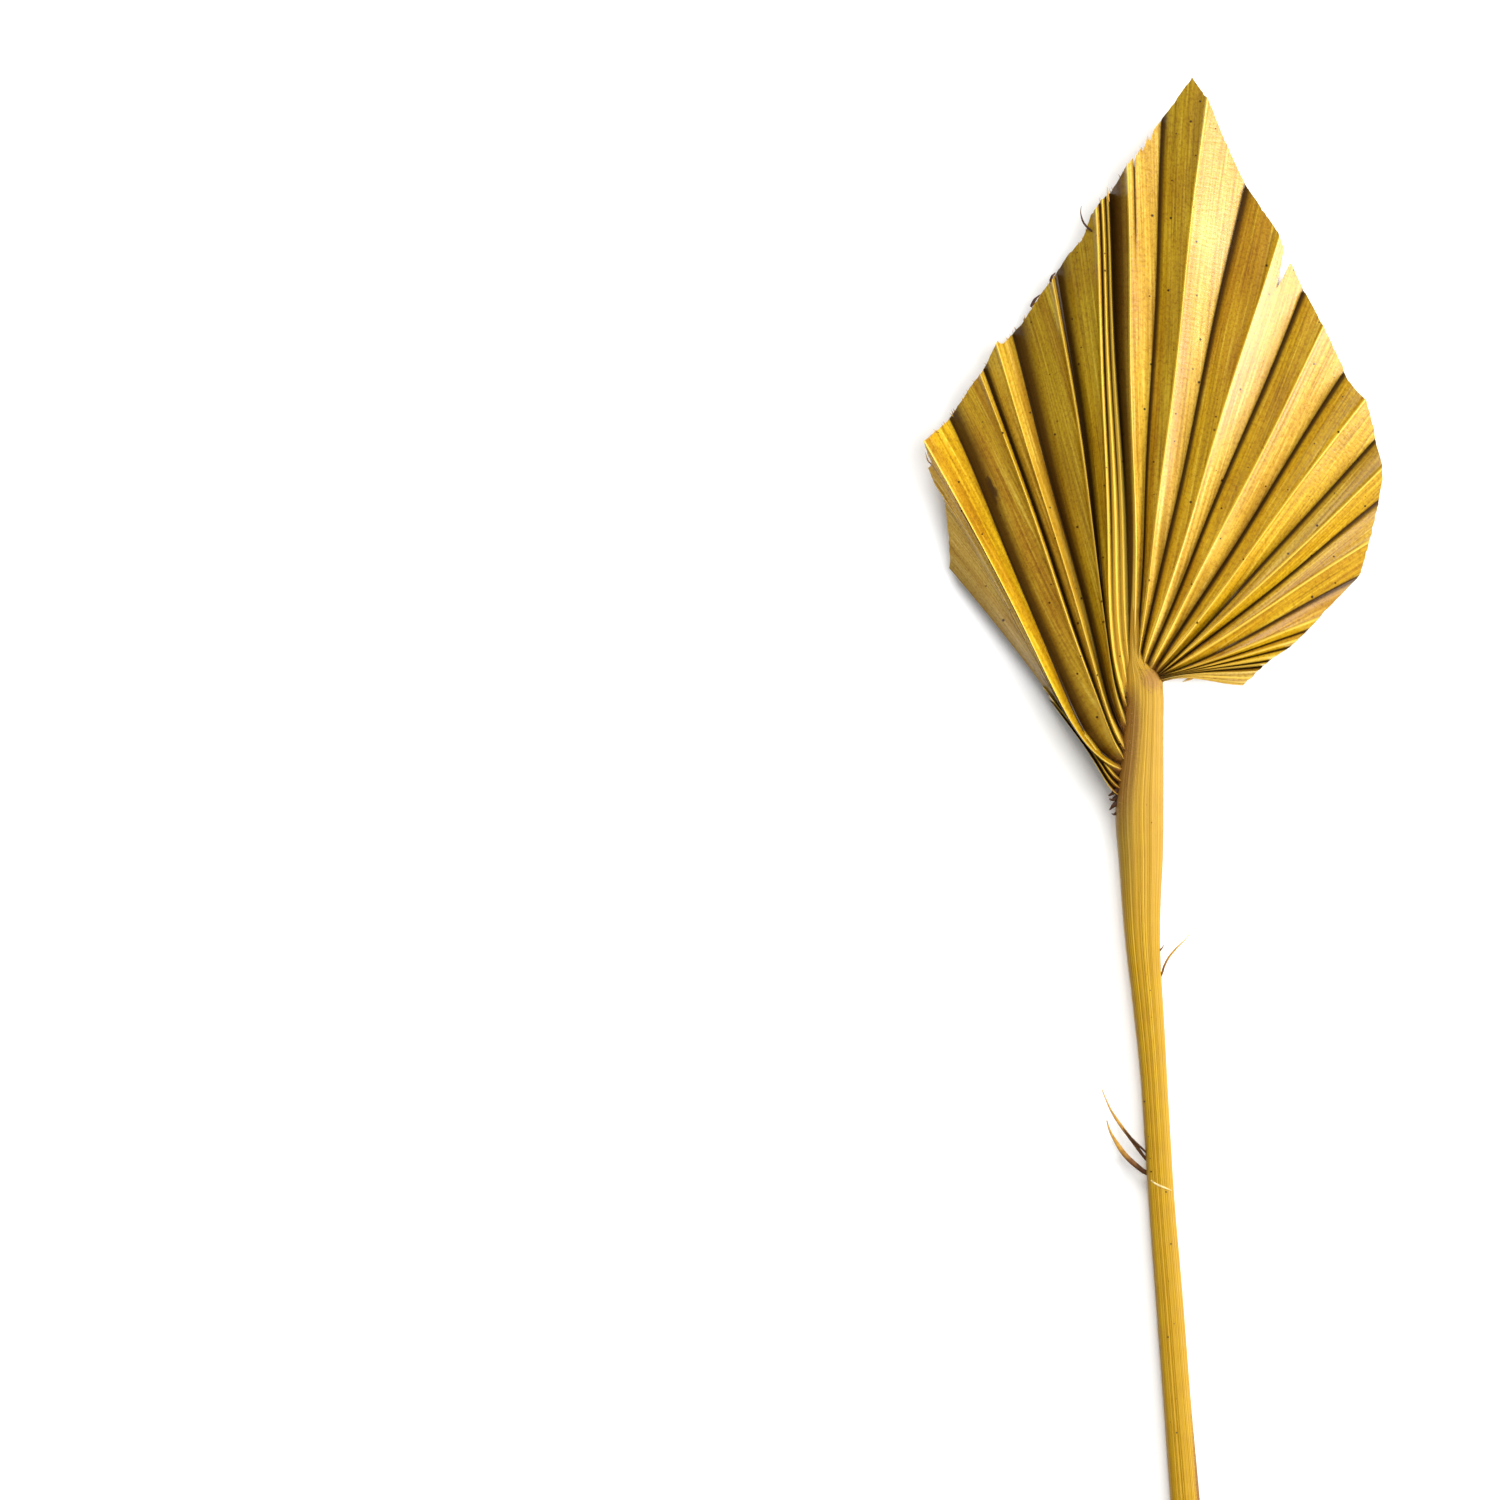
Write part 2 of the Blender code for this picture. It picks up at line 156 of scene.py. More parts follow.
# Where the folds are rooted, up the left side of the stalk and along its right shoulder:
# place in the row of folds, x and y
ROOTS = (
    (0, -7.7, -24.6), (2, -7.2, -22.5), (4, -6.9, -19.9), (6, -6.7, -17.1), (8, -6.4, -10.5),
    (10, -6.2, -5.5), (12, -5.9, 0.0), (14, -5.4, 5.0), (15, -4.8, 7.5), (16, -3.7, 7.0),
    (19, -3.0, 6.0), (21, -1.4, 5.2), (23, 0.8, 4.7), (25, 2.0, 4.3), (28, 2.5, 4.0),
    (33, 2.6, 3.8), (38, 2.8, 2.8), (41, 2.6, 1.8),
)
TUCK_ROOTS = ((-9.0, -29.4), (-7.7, -24.6))

# Sideways bow of a fold two thirds of the way in, by bearing; minus bows to the left
TUCK_BOW = 0.6
TUCK_HOOK = 1.1
TUCK_HOOK_REACH = 5.0
BOWS = ((-58.4, -0.9), (-42.2, -3.2), (-36.4, -3.2), (-28.0, -1.2), (-22.0, -1.1), (-13.3, -0.1),
        (-6.55, -1.3), (-5.75, -0.8), (-5.1, -0.3), (-4.7, 0.0), (1.4, 0.1), (31.7, 0.0),
        (42.0, 1.0), (50.6, 0.5), (56.0, 0.3), (61.3, 1.6), (71.0, 0.6), (77.6, -0.6),
        (87.5, -1.6))

# How far a panel has fallen from its ridge, part way across. A panel facing left drops off
# a thin lip at the ridge and plunges into the valley; a panel facing right falls evenly.
LEFT_FACING = ((0.0, 0.0), (0.03, 0.1), (0.08, 0.2), (0.3, 0.3), (0.6, 0.5), (0.8, 0.7),
               (1.0, 1.0))
RIGHT_FACING = ((0.0, 0.0), (0.05, 0.02), (0.3, 0.26), (0.7, 0.68), (0.92, 0.9), (1.0, 1.0))
WIDE_PANEL_LINES = (0.03, 0.08, 0.15, 0.22, 0.3, 0.4, 0.5, 0.6, 0.7, 0.8, 0.88, 0.95)
NARROW_PANEL_LINES = (0.2, 0.45, 0.7)
WIDE_PANEL = 1.6

# Stalk stations from the strip inside the blade to the cut end:
# y, x of the middle, half width, half height, height of the underside
STALK = (
    (32.0, -4.2, 0.5, 0.6, 7.0), (22.4, -4.3, 1.1, 1.0, 8.2), (14.0, -4.3, 1.5, 1.5, 8.0),
    (9.8, -4.2, 1.7, 1.9, 6.9), (7.4, -3.6, 2.5, 2.3, 6.1), (5.6, -2.6, 4.0, 2.8, 5.2),
    (3.4, -1.5, 5.1, 3.2, 4.5),
    (-2.8, -1.3, 5.3, 3.4, 4.0),
    (-14.0, -1.7, 5.6, 3.5, 3.6), (-28.0, -2.7, 6.7, 3.6, 3.4), (-34.2, -3.1, 7.0, 3.6, 3.3),
    (-44.8, -2.4, 6.4, 3.5, 3.1), (-58.8, -2.4, 5.5, 3.4, 2.9), (-72.8, -1.9, 4.8, 3.3, 2.6),
    (-86.8, -0.5, 4.3, 3.2, 2.3), (-98.8, 0.5, 4.1, 3.1, 2.0), (-102.8, 0.9, 3.8, 3.1, 1.9),
    (-123.2, 2.2, 3.7, 3.0, 1.4), (-142.8, 3.4, 3.7, 3.0, 1.0), (-170.8, 5.7, 3.9, 3.0, 0.5),
    (-198.8, 7.8, 3.9, 3.1, 0.2), (-226.8, 10.1, 4.2, 3.2, 0.0), (-252.8, 12.2, 4.3, 3.2, 0.0),
    (-278.9, 14.3, 4.5, 3.3, 0.0),
)
STALK_SIDES = 96
STALK_STEP = 1.1
EASE = 7.0
UNDERSIDE_FLAT = 0.8
PATTERN_WIDTH = 4.4
# Middle of the rough shoulder where the right hand folds are rooted
SHOULDER = (0.8, 3.2, 9.6)
# Half section of the stalk: place across from the left edge to the right, share of the half
# height; the crest runs over a quarter of the way in from the left
STALK_TOP = ((-1.0, -0.1), (-0.97, 0.4), (-0.88, 0.74), (-0.7, 0.92), (-0.45, 1.0),
             (0.1, 0.96), (0.5, 0.82), (0.8, 0.55), (0.95, 0.24), (1.0, -0.1))

# Torn fibres: points from the sunk root to the tip, then the greatest radius and the tone,
# from 0 for dark brown to 1 for cream
FIBRES = (
    (((0.6, -132.8, 3.4), (-0.9, -131.6, 3.8), (-5.3, -125.7, 4.8), (-7.8, -122.4, 5.4),
      (-10.6, -118.2, 5.4), (-12.3, -114.5, 5.0), (-13.4, -111.7, 4.6)), 0.5, 0.3),
    (((0.6, -130.6, 4.6), (-0.9, -129.6, 4.9), (-3.9, -126.8, 5.4), (-6.2, -124.3, 5.6),
      (-8.0, -122.0, 5.5)), 0.32, -0.2),
    (((1.0, -136.2, 3.2), (-2.0, -134.7, 3.4), (-6.6, -130.6, 4.2), (-9.8, -126.0, 4.4),
      (-11.2, -123.2, 4.2), (-11.9, -120.7, 3.8)), 0.75, 0.3),
    (((2.4, -81.6, 5.0), (3.5, -79.5, 5.2), (4.1, -77.4, 5.8), (5.3, -75.0, 6.4),
      (7.3, -72.5, 6.9), (10.0, -69.8, 7.2), (12.0, -67.4, 7.2)), 0.32, 0.4),
    (((1.6, -74.2, 5.2), (2.9, -73.0, 5.6), (3.7, -72.0, 5.8), (4.2, -71.0, 5.8)), 0.24, 0.05),
    (((-14.8, 127.4, 9.0), (-17.4, 129.3, 9.6), (-18.8, 131.0, 10.4), (-19.5, 133.4, 10.8),
      (-19.3, 135.5, 10.6)), 0.3, -0.1),
    (((-11.6, 136.6, 10.6), (-11.9, 139.0, 10.8), (-12.1, 141.3, 10.6)), 0.26, 0.6),
    (((-33.4, 107.2, 9.2), (-32.2, 109.3, 9.4), (-30.9, 110.6, 9.4)), 0.45, -0.3),
    (((-28.0, 114.2, 9.6), (-27.4, 115.8, 9.8), (-26.5, 116.8, 9.7)), 0.4, -0.3),
    (((-61.0, 63.0, 9.6), (-62.2, 64.2, 10.2), (-63.0, 66.6, 10.6)), 0.2, 0.6),
    (((-8.2, -27.0, 7.8), (-10.2, -28.8, 8.1), (-11.6, -29.6, 7.8)), 0.75, -0.3),
    (((-8.4, -29.0, 7.6), (-10.3, -30.7, 7.9), (-11.4, -30.4, 7.6)), 0.65, -0.35),
    (((-8.4, -30.8, 7.4), (-10.2, -32.4, 7.6), (-11.3, -33.6, 7.2)), 0.7, -0.3),
    (((-8.2, -33.4, 7.2), (-9.8, -34.8, 7.2), (-10.7, -34.6, 7.0)), 0.5, -0.2),
    (((13.6, 4.4, 7.6), (11.2, 3.2, 7.6), (9.2, 2.3, 7.2)), 0.5, 0.5),
    (((0.4, -137.4, 6.2), (1.4, -138.2, 6.4), (2.8, -138.9, 6.45), (4.8, -139.7, 6.2),
      (6.2, -140.3, 5.3)), 0.3, 1.0),
)
# Short broken fibres standing out of the ragged left edge, and the bearings they lie between
FUZZ = 46
FUZZ_LENGTH = 1.1
FUZZ_BEARINGS = (-41.0, -0.5)

# Scurf on the stalk along the roots of the folds: y, x of the left side and x of the right
# side of each bed, then the shards to a square millimetre and the size of one
SCURF_BEDS = (
    ((-34.0, -9.8, -8.8), (-30.0, -9.3, -7.6), (-24.0, -8.6, -6.0), (-18.0, -7.2, -5.0),
     (-12.0, -6.8, -4.6), (-6.0, -6.4, -5.0), (0.0, -6.3, -5.6)),
    ((-1.5, 0.6, 3.4), (1.0, -1.6, 3.2), (3.0, -2.6, 2.6), (5.0, -3.0, 1.0), (7.0, -3.2, -1.6)),
)
SCURF_DENSITY = 7.0
SCURF_LENGTH = 0.8
SCURF_RADIUS = 0.11

SPECKS_TO_A_METRE = 150.0

# Places of the share, the two colours and the result on a mix of colours
MIX_SHARE = 0
MIX_UNDER = 6
MIX_OVER = 7
MIX_RESULT = 2

# Picture
CAMERA_LENS = 200.0
SENSOR = 36.0
PIXEL = 0.28
PICTURE_SIDE = 1500
HEART_PIXEL = (1150, 690)


def bearing_of(point):
    """Degrees clockwise from +Y, seen from above."""
    return math.degrees(math.atan2(point[0], point[1]))


def in_frame(points):
    """One point or many, from millimetres about the heart to the frame."""
    return ((np.array(points, dtype=float) + HEART) * MM).tolist()


def along(points, share):
    """Point at a share of the way through a row of points, equal steps between them."""
    place = share * (len(points) - 1)
    index = min(int(place), len(points) - 2)
    start = np.array(points[index])
    return start + (np.array(points[index + 1]) - start) * (place - index)


def nibbled(outline):
    """Cut outline with short steps and small nicks, as dry leaf breaks along the shears."""
    rng = np.random.default_rng(7)
    points = []
    for a, b in zip(outline, outline[1:]):
        a = np.array(a)
        b = np.array(b)
        length = np.linalg.norm(b - a)
        steps = max(1, round(length / NIBBLE_STEP))
        side = np.array((-(b - a)[1], (b - a)[0])) / length
        for k in range(steps):
            depth = NIBBLE_DEPTH * rng.random() ** 2 if 0 < k else 0.0
            points.append(a + (b - a) * k / steps - side * depth)
    points.append(np.array(outline[-1]))
    kept = [points[0]]
    for point in points[1:]:
        if bearing_of(point) > bearing_of(kept[-1]) + 0.02:
            kept.append(point)
    return kept


EDGE = nibbled(OUTLINE)
EDGE_BEARINGS = [bearing_of(point) for point in EDGE]
WHOLE_EDGE = [point for point in OUTLINE if point != SLIT_FOOT]
WHOLE_BEARINGS = [bearing_of(point) for point in WHOLE_EDGE]
FOLD_BEARINGS = [fold[0] for fold in FOLDS]


def fold_root(number):
    """Root of a fold, or of a line between two folds, by its place in the row of folds."""
    numbers, across, upward = zip(*ROOTS)
    return np.array((np.interp(number, numbers, across), np.interp(number, numbers, upward)))


def cut_point(bearing, edge=EDGE, bearings=EDGE_BEARINGS):
    """Point where a line from the heart meets the cut edge, or another edge."""
    bearing = min(max(bearing, bearings[0]), bearings[-1])
    index = int(np.searchsorted(bearings, bearing, side="right")) - 1
    index = min(max(index, 0), len(edge) - 2)
    a = np.array(edge[index])
    b = np.array(edge[index + 1])
    direction = np.array((math.sin(math.radians(bearing)), math.cos(math.radians(bearing))))
    run = b - a
    across = direction[0] * run[1] - direction[1] * run[0]
    return direction * (a[0] * run[1] - a[1] * run[0]) / across


def fold_length(number):
    """Straight length of a fold from its root to the cut edge."""
    return np.linalg.norm(fold_root(number) - cut_point(FOLD_BEARINGS[number]))


def is_ridge(number):
    """Ridges and valleys take turns, apart from the plain creases near the margins."""
    if number in CREASES:
        return None
    return number > 0 and number % 2 == 0


def fold_height(number, share):
    """Height of a fold at a share of its length out from the root.

    The blade as a whole rises evenly; the pleats deepen quickly at first, because they leave
    the stalk already folded, and then more slowly.
    """
    ends = [FOLDS[min(max(n, 0), len(FOLDS) - 1)][1] for n in (number - 1, number, number + 1)]
    middle = 0.25 * ends[0] + 0.5 * ends[1] + 0.25 * ends[2]
    relief = ends[1] - middle
    pleat = LEFT_ROOT_PLEAT if number <= LAST_LEFT_FOLD else RIGHT_ROOT_PLEAT
    if number in BUNCH:
        pleat = BUNCH_ROOT_PLEAT
    root = {True: pleat, False: -pleat, None: 0.0}[is_ridge(number)]
    distance = share * fold_length(number)
    height = ROOT_HEIGHT + (middle - ROOT_HEIGHT) * share
    height -= ROOT_DIVE * math.exp(-distance / DIVE_REACH)
    root *= max(0.0, 1.0 - share) * (1.0 - 0.7 * math.exp(-distance / DIVE_REACH))
    return height + root + relief * share ** RELIEF_GROWTH


def panel_share(left, part):
    """Share of the height difference reached part way across the panel right of a fold."""
    if is_ridge(left) is None or is_ridge(left + 1) is None:
        return part
    if is_ridge(left):
        return float(np.interp(part, *zip(*RIGHT_FACING)))
    return 1.0 - float(np.interp(1.0 - part, *zip(*LEFT_FACING)))


def blade_bearings():
    """Every fold, every point of the cut edge, and lines part way across each panel."""
    wanted = []
    for number, (left, right) in enumerate(zip(FOLD_BEARINGS, FOLD_BEARINGS[1:])):
        lines = WIDE_PANEL_LINES if right - left > WIDE_PANEL else NARROW_PANEL_LINES
        for line in lines:
            part = line if is_ridge(number) else 1.0 - line
            wanted.append((left + (right - left) * part, 0.5))
    corners = [(bearing_of(point), 0.2) for point in OUTLINE]
    edge = [(bearing, 0.5) for bearing in EDGE_BEARINGS]
    kept = list(FOLD_BEARINGS)
    for bearing, gap in corners + wanted + edge:
        if not kept[0] < bearing < FOLD_BEARINGS[-1]:
            continue
        spacing = math.radians(min(abs(bearing - other) for other in kept))
        if spacing * np.linalg.norm(cut_point(bearing)) > gap * 0.6:
            kept.append(bearing)
    return sorted(kept)


def ripple(x, y):
    """Gentle unevenness of a dry sheet, in millimetres."""
    wave = np.sin(x / 5.3 + 0.6 * np.sin(y / 17.0)) * np.sin(y / 8.1 + 1.3)
    slow = np.sin(x / 13.0 + y / 31.0 + 0.8)
    return 0.16 * wave + 0.22 * slow


def valley_shade(left, part, distance):
    """Painted shade: how dark the bottom of a fold is painted, standing in for the shade that
    falls there.

    It reaches far up a panel facing left and only a hair up one facing right, and fills more
    of the panel close to the root.
    """
    # On the two margin panels the painted shade darkens toward the lower edge and toward the root
    if left < 2:
        return max(0.45 * (1.0 - part - left), 1.6 * math.exp(-distance / 36.0) - 0.14)
    if is_ridge(left) is None or is_ridge(left + 1) is None:
        return 0.0
    close = math.exp(-distance / 24.0)
    if is_ridge(left):
        narrow = 0.35 if left in BUNCH else 0.07
        return max(0.0, 1.0 - (1.0 - part) / (narrow + 0.3 * close))
    broad = 0.5 if left <= LAST_LEFT_FOLD else 0.2
    if left in BUNCH:
        broad = 1.6
    return max(0.0, 1.0 - part / (broad + 0.75 * close))


def crack_share(bearing, flat):
    """How deep in the crack a point lies, from its lips and its foot to its bottom."""
    opened = min(1.0, max(0.0, (flat[1] - CRACK_FOOT) / CRACK_OPENING))
    return opened * max(0.0, 1.0 - abs(bearing - CRACK_BEARING) / CRACK_HALF)


def blotch_and_crack_shadow(bearing, flat):
    """How dark a point of the blade is painted: a stain in a blotch, or painted shadow in the
    bottom of the crack.
    """
    reach = (2.2 * (1.0 - math.dist(flat, spot[:2]) / spot[2]) for spot in BLOTCHES)
    return min(1.0, max(0.0, crack_share(bearing, flat), *reach))


def panel_marks(left, part, distance, from_cut, stain):
    """Pattern place, tints with painted shade and painted highlight, and edges at one point of a
    panel, for the colours to follow.
    """
    width = math.radians(FOLD_BEARINGS[left + 1] - FOLD_BEARINGS[left])
    ridge_first = is_ridge(left) if is_ridge(left) is not None else not is_ridge(left + 1)
    width *= max(distance, VEINS_KEPT)
    depth = (part if ridge_first else 1.0 - part) * width
    if left == 0:
        depth = 9.0
    shade = min(1.0, max(stain, valley_shade(left, part, distance)))
    return (part * width, distance, float(left), FOLDS[left][2],
            FOLDS[left][3], shade, depth, from_cut, distance)


def panel_at(bearing):
    """Fold on the left of a bearing, and how far the bearing lies across the panel after it."""
    left = int(np.searchsorted(FOLD_BEARINGS, bearing, side="right")) - 1
    left = min(max(left, 0), len(FOLDS) - 2)
    return left, (bearing - FOLD_BEARINGS[left]) / (FOLD_BEARINGS[left + 1] - FOLD_BEARINGS[left])


def blade_line(bearing):
    """Points down one line of the blade, from the cut to the root, with the marks of the panel
    after it and of the panel before it."""
    left, part = panel_at(bearing)
    share = panel_share(left, part)
    whole = cut_point(bearing, WHOLE_EDGE, WHOLE_BEARINGS)
    inward = fold_root(left + part) - whole
    reach = np.linalg.norm(inward)
    missing = 1.0 - np.linalg.norm(cut_point(bearing)) / np.linalg.norm(whole)
    clockwise = np.array((-inward[1], inward[0])) / reach
    bow = np.interp(bearing, *zip(*BOWS))
    places, *hooks = zip(*HOOKS)
    hook, hook_reach = (np.interp(bearing, places, values) for values in hooks)
    pair = (left, left + 1)
    full = [fold_length(n) for n in pair]
    rows = (np.arange(BLADE_ROWS) / (BLADE_ROWS - 1)) ** ROW_CROWDING
    points = []
    after = []
    before = []
    for row in missing + rows * (1.0 - missing):
        distance = reach * (1.0 - row)
        side = bow * BOW_PEAK * row * row * (1.0 - row)
        side += 0.3 * math.sin(distance / 14.0 + 0.35 * bearing) * min(1.0, distance / 40.0)
        side -= hook * distance / hook_reach * math.exp(1.0 - distance / hook_reach)
        flat = whole + inward * row + clockwise * side
        low, high = (fold_height(n, distance / length) for n, length in zip(pair, full))
        rise = FOLD_ARCH * math.sin(math.pi * row)
        rise += ripple(*flat) * min(1.0, distance / 30.0)
        rise -= CRACK_DEPTH * crack_share(bearing, flat)
        points.append((flat[0], flat[1], low + (high - low) * share + rise))
        # Blotches are stains; the dark in the bottom of the crack is painted shadow
        stain = blotch_and_crack_shadow(bearing, flat)
        from_cut = reach * (row - missing)
        after.append(panel_marks(left, part, distance, from_cut, stain))
        if part == 0.0 and left:
            before.append(panel_marks(left - 1, 1.0, distance, from_cut, stain))
        else:
            before.append(after[-1])
    return points, after, before


def tuck_line(number, part):
    """Points and marks down one line of the tucked pleats, part way from fold to fold."""
    first = np.array(TUCK[number])
    second = np.array(TUCK[min(number + 1, len(TUCK) - 1)])
    end_x, end_y, end_height, share = first + (second - first) * part
    end = np.array((end_x, end_y))
    inward = along(TUCK_ROOTS, share) - end
    reach = np.linalg.norm(inward)
    clockwise = np.array((-inward[1], inward[0])) / reach
    from_ridge = part if number % 2 == 0 else 1.0 - part
    points = []
    marks = []
    for row in np.arange(BLADE_ROWS) / (BLADE_ROWS - 1):
        far = reach * (1.0 - row)
        side = TUCK_BOW * BOW_PEAK * row * row * (1.0 - row)
        side -= TUCK_HOOK * far / TUCK_HOOK_REACH * math.exp(1.0 - far / TUCK_HOOK_REACH)
        flat = end + inward * row + clockwise * side
        root = ROOT_HEIGHT - ROOT_DIVE * math.exp(-far / DIVE_REACH)
        root += TUCK_PLEAT * (1.0 - 2.0 * from_ridge)
        points.append((flat[0], flat[1], end_height + (root - end_height) * row))
        # Painted shade in the valleys of the tucked pleats, darker away from each ridge
        shade = max(0.0, 1.9 * from_ridge - 0.5)
        marks.append((2.0 * (number + part), far, 50.0, 0.1, 0.2, min(1.0, shade),
                      1.3 * from_ridge, row * reach, far))
    return points, marks, marks


def steepness(grid, triangles):
    """For each point, the largest one over cosine of the tilt of the triangles round it."""
    corners = grid[triangles]
    normal = np.cross(corners[:, 1] - corners[:, 0], corners[:, 2] - corners[:, 0])
    stretch = np.linalg.norm(normal, axis=1) / np.maximum(np.abs(normal[:, 2]), 1e-9)
    steep = np.ones(len(grid))
    for k in range(3):
        np.maximum.at(steep, triangles[:, k], stretch)
    return np.minimum(steep, STEEPEST)


def new_object(name, data):
    """New object in the scene."""
    made = bpy.data.objects.new(name, data)
    bpy.context.collection.objects.link(made)
    return made


def mesh_object(name, vertices, faces):
    """New object from points in millimetres about the heart, placed in the frame."""
    mesh = bpy.data.meshes.new(name)
    mesh.from_pydata(in_frame(vertices), [], faces)
    work = bmesh.new()
    work.from_mesh(mesh)
    bmesh.ops.recalc_face_normals(work, faces=work.faces)
    work.to_mesh(mesh)
    work.free()
    return new_object(name, mesh)


def keep_values(mesh, name, kind, values, domain="POINT"):
    """Store one value or one vector for each point, or for each corner, of a mesh."""
    layer = mesh.attributes.new(name, kind, domain)
    field = "value" if kind == "FLOAT" else "vector"
    layer.data.foreach_set(field, np.asarray(values, dtype=np.float32).ravel())


def make_sheet(name, lines):
    """Pleated sheet with matching faces on its face and its back."""
    wide = len(lines)
    tall = len(lines[0][0])
    grid = np.array([line[0] for line in lines]).reshape(-1, 3)
    quads = []
    owner = []
    for i in range(wide - 1):
        for j in range(tall - 1):
            a = i * tall + j
            quads.append((a, a + 1, a + tall + 1, a + tall))
            owner.append(i)
    quads = np.array(quads)
    triangles = np.vstack((quads[:, (0, 1, 2)], quads[:, (0, 2, 3)]))
    half = 0.5 * BLADE_THICKNESS * steepness(grid, triangles)
    lift = np.column_stack((np.zeros((len(grid), 2)), half))
    count = len(grid)
    faces = [tuple(int(i) for i in q) for q in quads]
    faces += [tuple(int(i) + count for i in q[::-1]) for q in quads]
    rim = list(range(tall))
    rim += [i * tall + tall - 1 for i in range(1, wide)]
    rim += [(wide - 1) * tall + j for j in range(tall - 2, -1, -1)]
    rim += [i * tall for i in range(wide - 2, 0, -1)]
    owner += owner
    for a, b in zip(rim, rim[1:] + rim[:1]):
        faces.append((a, a + count, b + count, b))
        owner.append(min(a // tall, b // tall, wide - 2))
    made = mesh_object(name, np.vstack((grid + lift, grid - lift)), faces)
    marks = np.array([[line[side] for line in lines] for side in (1, 2)])
    corner_point = np.empty(len(made.data.loops), dtype=int)
    made.data.loops.foreach_get("vertex_index", corner_point)
    corner_owner = np.repeat(owner, [len(face) for face in faces])
    line, row = np.divmod(corner_point % count, tall)
    kept = marks[(line > corner_owner).astype(int), line, row]
    for place, label in enumerate(("vein_place", "dyes", "edges")):
        keep_values(made.data, label, "FLOAT_VECTOR", kept[:, 3 * place:3 * place + 3], "CORNER")
    made.data.shade_smooth()
    made.data.set_sharp_from_angle(angle=math.radians(BLADE_SHARP))
    return made


def stalk_measures(y):
    """Middle, half width, half height and underside of the stalk, with the stations eased."""
    table = np.array(STALK)
    reach = EASE if y < -EASE else 1.0
    near = np.clip(np.array((y - reach, y - 0.5 * reach, y, y + 0.5 * reach, y + reach)),
                   table[-1, 0], table[0, 0])
    return [float(np.mean(np.interp(-near, -table[:, 0], table[:, c]))) for c in range(1, 5)]


def stalk_top(x, y):
    """Height of the upper face of the stalk."""
    middle, wide, tall, base = stalk_measures(y)
    rise = float(np.interp((x - middle) / wide, *zip(*STALK_TOP)))
    return base + (UNDERSIDE_FLAT + rise) * tall


def make_stalk():
    """Ribbed stalk, flat underneath, running up into the blade as a narrow strip."""
    count = math.ceil((STALK[0][0] - STALK[-1][0]) / STALK_STEP)
    stations = np.linspace(STALK[0][0], STALK[-1][0], count)
    vertices = []
    place = []
    across = []
    half_top = STALK_SIDES * 5 // 8
    for y in stations:
        x, wide, tall, base = stalk_measures(y)
        middle = base + UNDERSIDE_FLAT * tall
        for i in range(STALK_SIDES):
            if i < half_top:
                turn = math.pi * i / half_top
                u = -math.cos(turn)
                rise = float(np.interp(u, *zip(*STALK_TOP)))
                rib = 0.022 * math.sin(u * 31.0 + 1.3 * math.sin(7.0 * u)) * (1.6 - u)
                rib += 0.012 * math.sin(u * 53.0 + 0.5) * (1.6 - u)
                v = rise * tall + rib * math.sin(turn) * min(wide, 4.0) * 0.45
            else:
                turn = math.pi * (i - half_top) / (STALK_SIDES - half_top)
                u = math.cos(turn)
                round_off = abs(u) ** 6
                v = -tall * (UNDERSIDE_FLAT - (UNDERSIDE_FLAT - 0.1) * round_off)
            vertices.append((x + u * wide, y, middle + v))
            place.append((u * PATTERN_WIDTH, y, 0.0 if i < half_top else 20.0))
            across.append(u)
    faces = []
    rings = len(stations)
    for k in range(rings - 1):
        for i in range(STALK_SIDES):
            a = k * STALK_SIDES + i
            b = k * STALK_SIDES + (i + 1) % STALK_SIDES
            faces.append((a, b, b + STALK_SIDES, a + STALK_SIDES))
    faces.append(tuple(range(STALK_SIDES)))
    faces.append(tuple(range((rings - 1) * STALK_SIDES, rings * STALK_SIDES)))
    made = mesh_object("stalk", vertices, faces)
    keep_values(made.data, "vein_place", "FLOAT_VECTOR", place)
    keep_values(made.data, "across", "FLOAT", across)
    made.data.shade_smooth()
    made.data.set_sharp_from_angle(angle=math.radians(STALK_SHARP))
    return made


def add(tree, kind, values=None):
    """Add a node. Each value is a setting of its own or goes into one of its sockets, plain or
    linked from a socket of another node; a whole node stands for its first socket."""
    node = tree.nodes.new(kind)
    for key, value in (values or {}).items():
        if key == "stops":
            set_stops(node.color_ramp.elements, value)
        elif isinstance(value, bpy.types.Node):
            tree.links.new(value.outputs[0], node.inputs[key])
        elif isinstance(value, bpy.types.NodeSocket):
            tree.links.new(value, node.inputs[key])
        elif isinstance(key, str) and hasattr(node, key):
            setattr(node, key, value)
        else:
            node.inputs[key].default_value = value
    return node


def dye(code):
    """Linear colour of an sRGB hex value."""
    parts = [int(code[i:i + 2], 16) / 255.0 for i in (1, 3, 5)]
    linear = [c / 12.92 if c <= 0.04045 else ((c + 0.055) / 1.055) ** 2.4 for c in parts]
    return (*linear, 1.0)


def set_stops(elements, stops):
    """Set the stops of a colour scale: the place of each, and its colour code or its level."""
    tints = [dye(tint) if isinstance(tint, str) else (tint, tint, tint, 1.0) for _, tint in stops]
    for element, index in ((elements[0], 0), (elements[1], -1)):
        element.position = stops[index][0]
        element.color = tints[index]
    for (place, _), tint in zip(stops[1:-1], tints[1:-1]):
        elements.new(place).color = tint


def laid_over(tree, colour, layers):
    """Colour with layers over it: how each blends in, how strongly, and its own colour."""
    for blend, share, layer in layers:
        mix = add(tree, "ShaderNodeMix", {
            "data_type": "RGBA", "blend_type": blend, MIX_SHARE: share, MIX_UNDER: colour,
            MIX_OVER: layer})
        colour = mix.outputs[MIX_RESULT]
    return colour


def new_material(name, look):
    """Material with one Principled shader on its output, with its plain values."""
    material = bpy.data.materials.new(name)
    material.use_nodes = True
    tree = material.node_tree
    tree.nodes.clear()
    skin = add(tree, "ShaderNodeBsdfPrincipled", look)
    add(tree, "ShaderNodeOutputMaterial", {"Surface": skin})
    return material, tree, skin


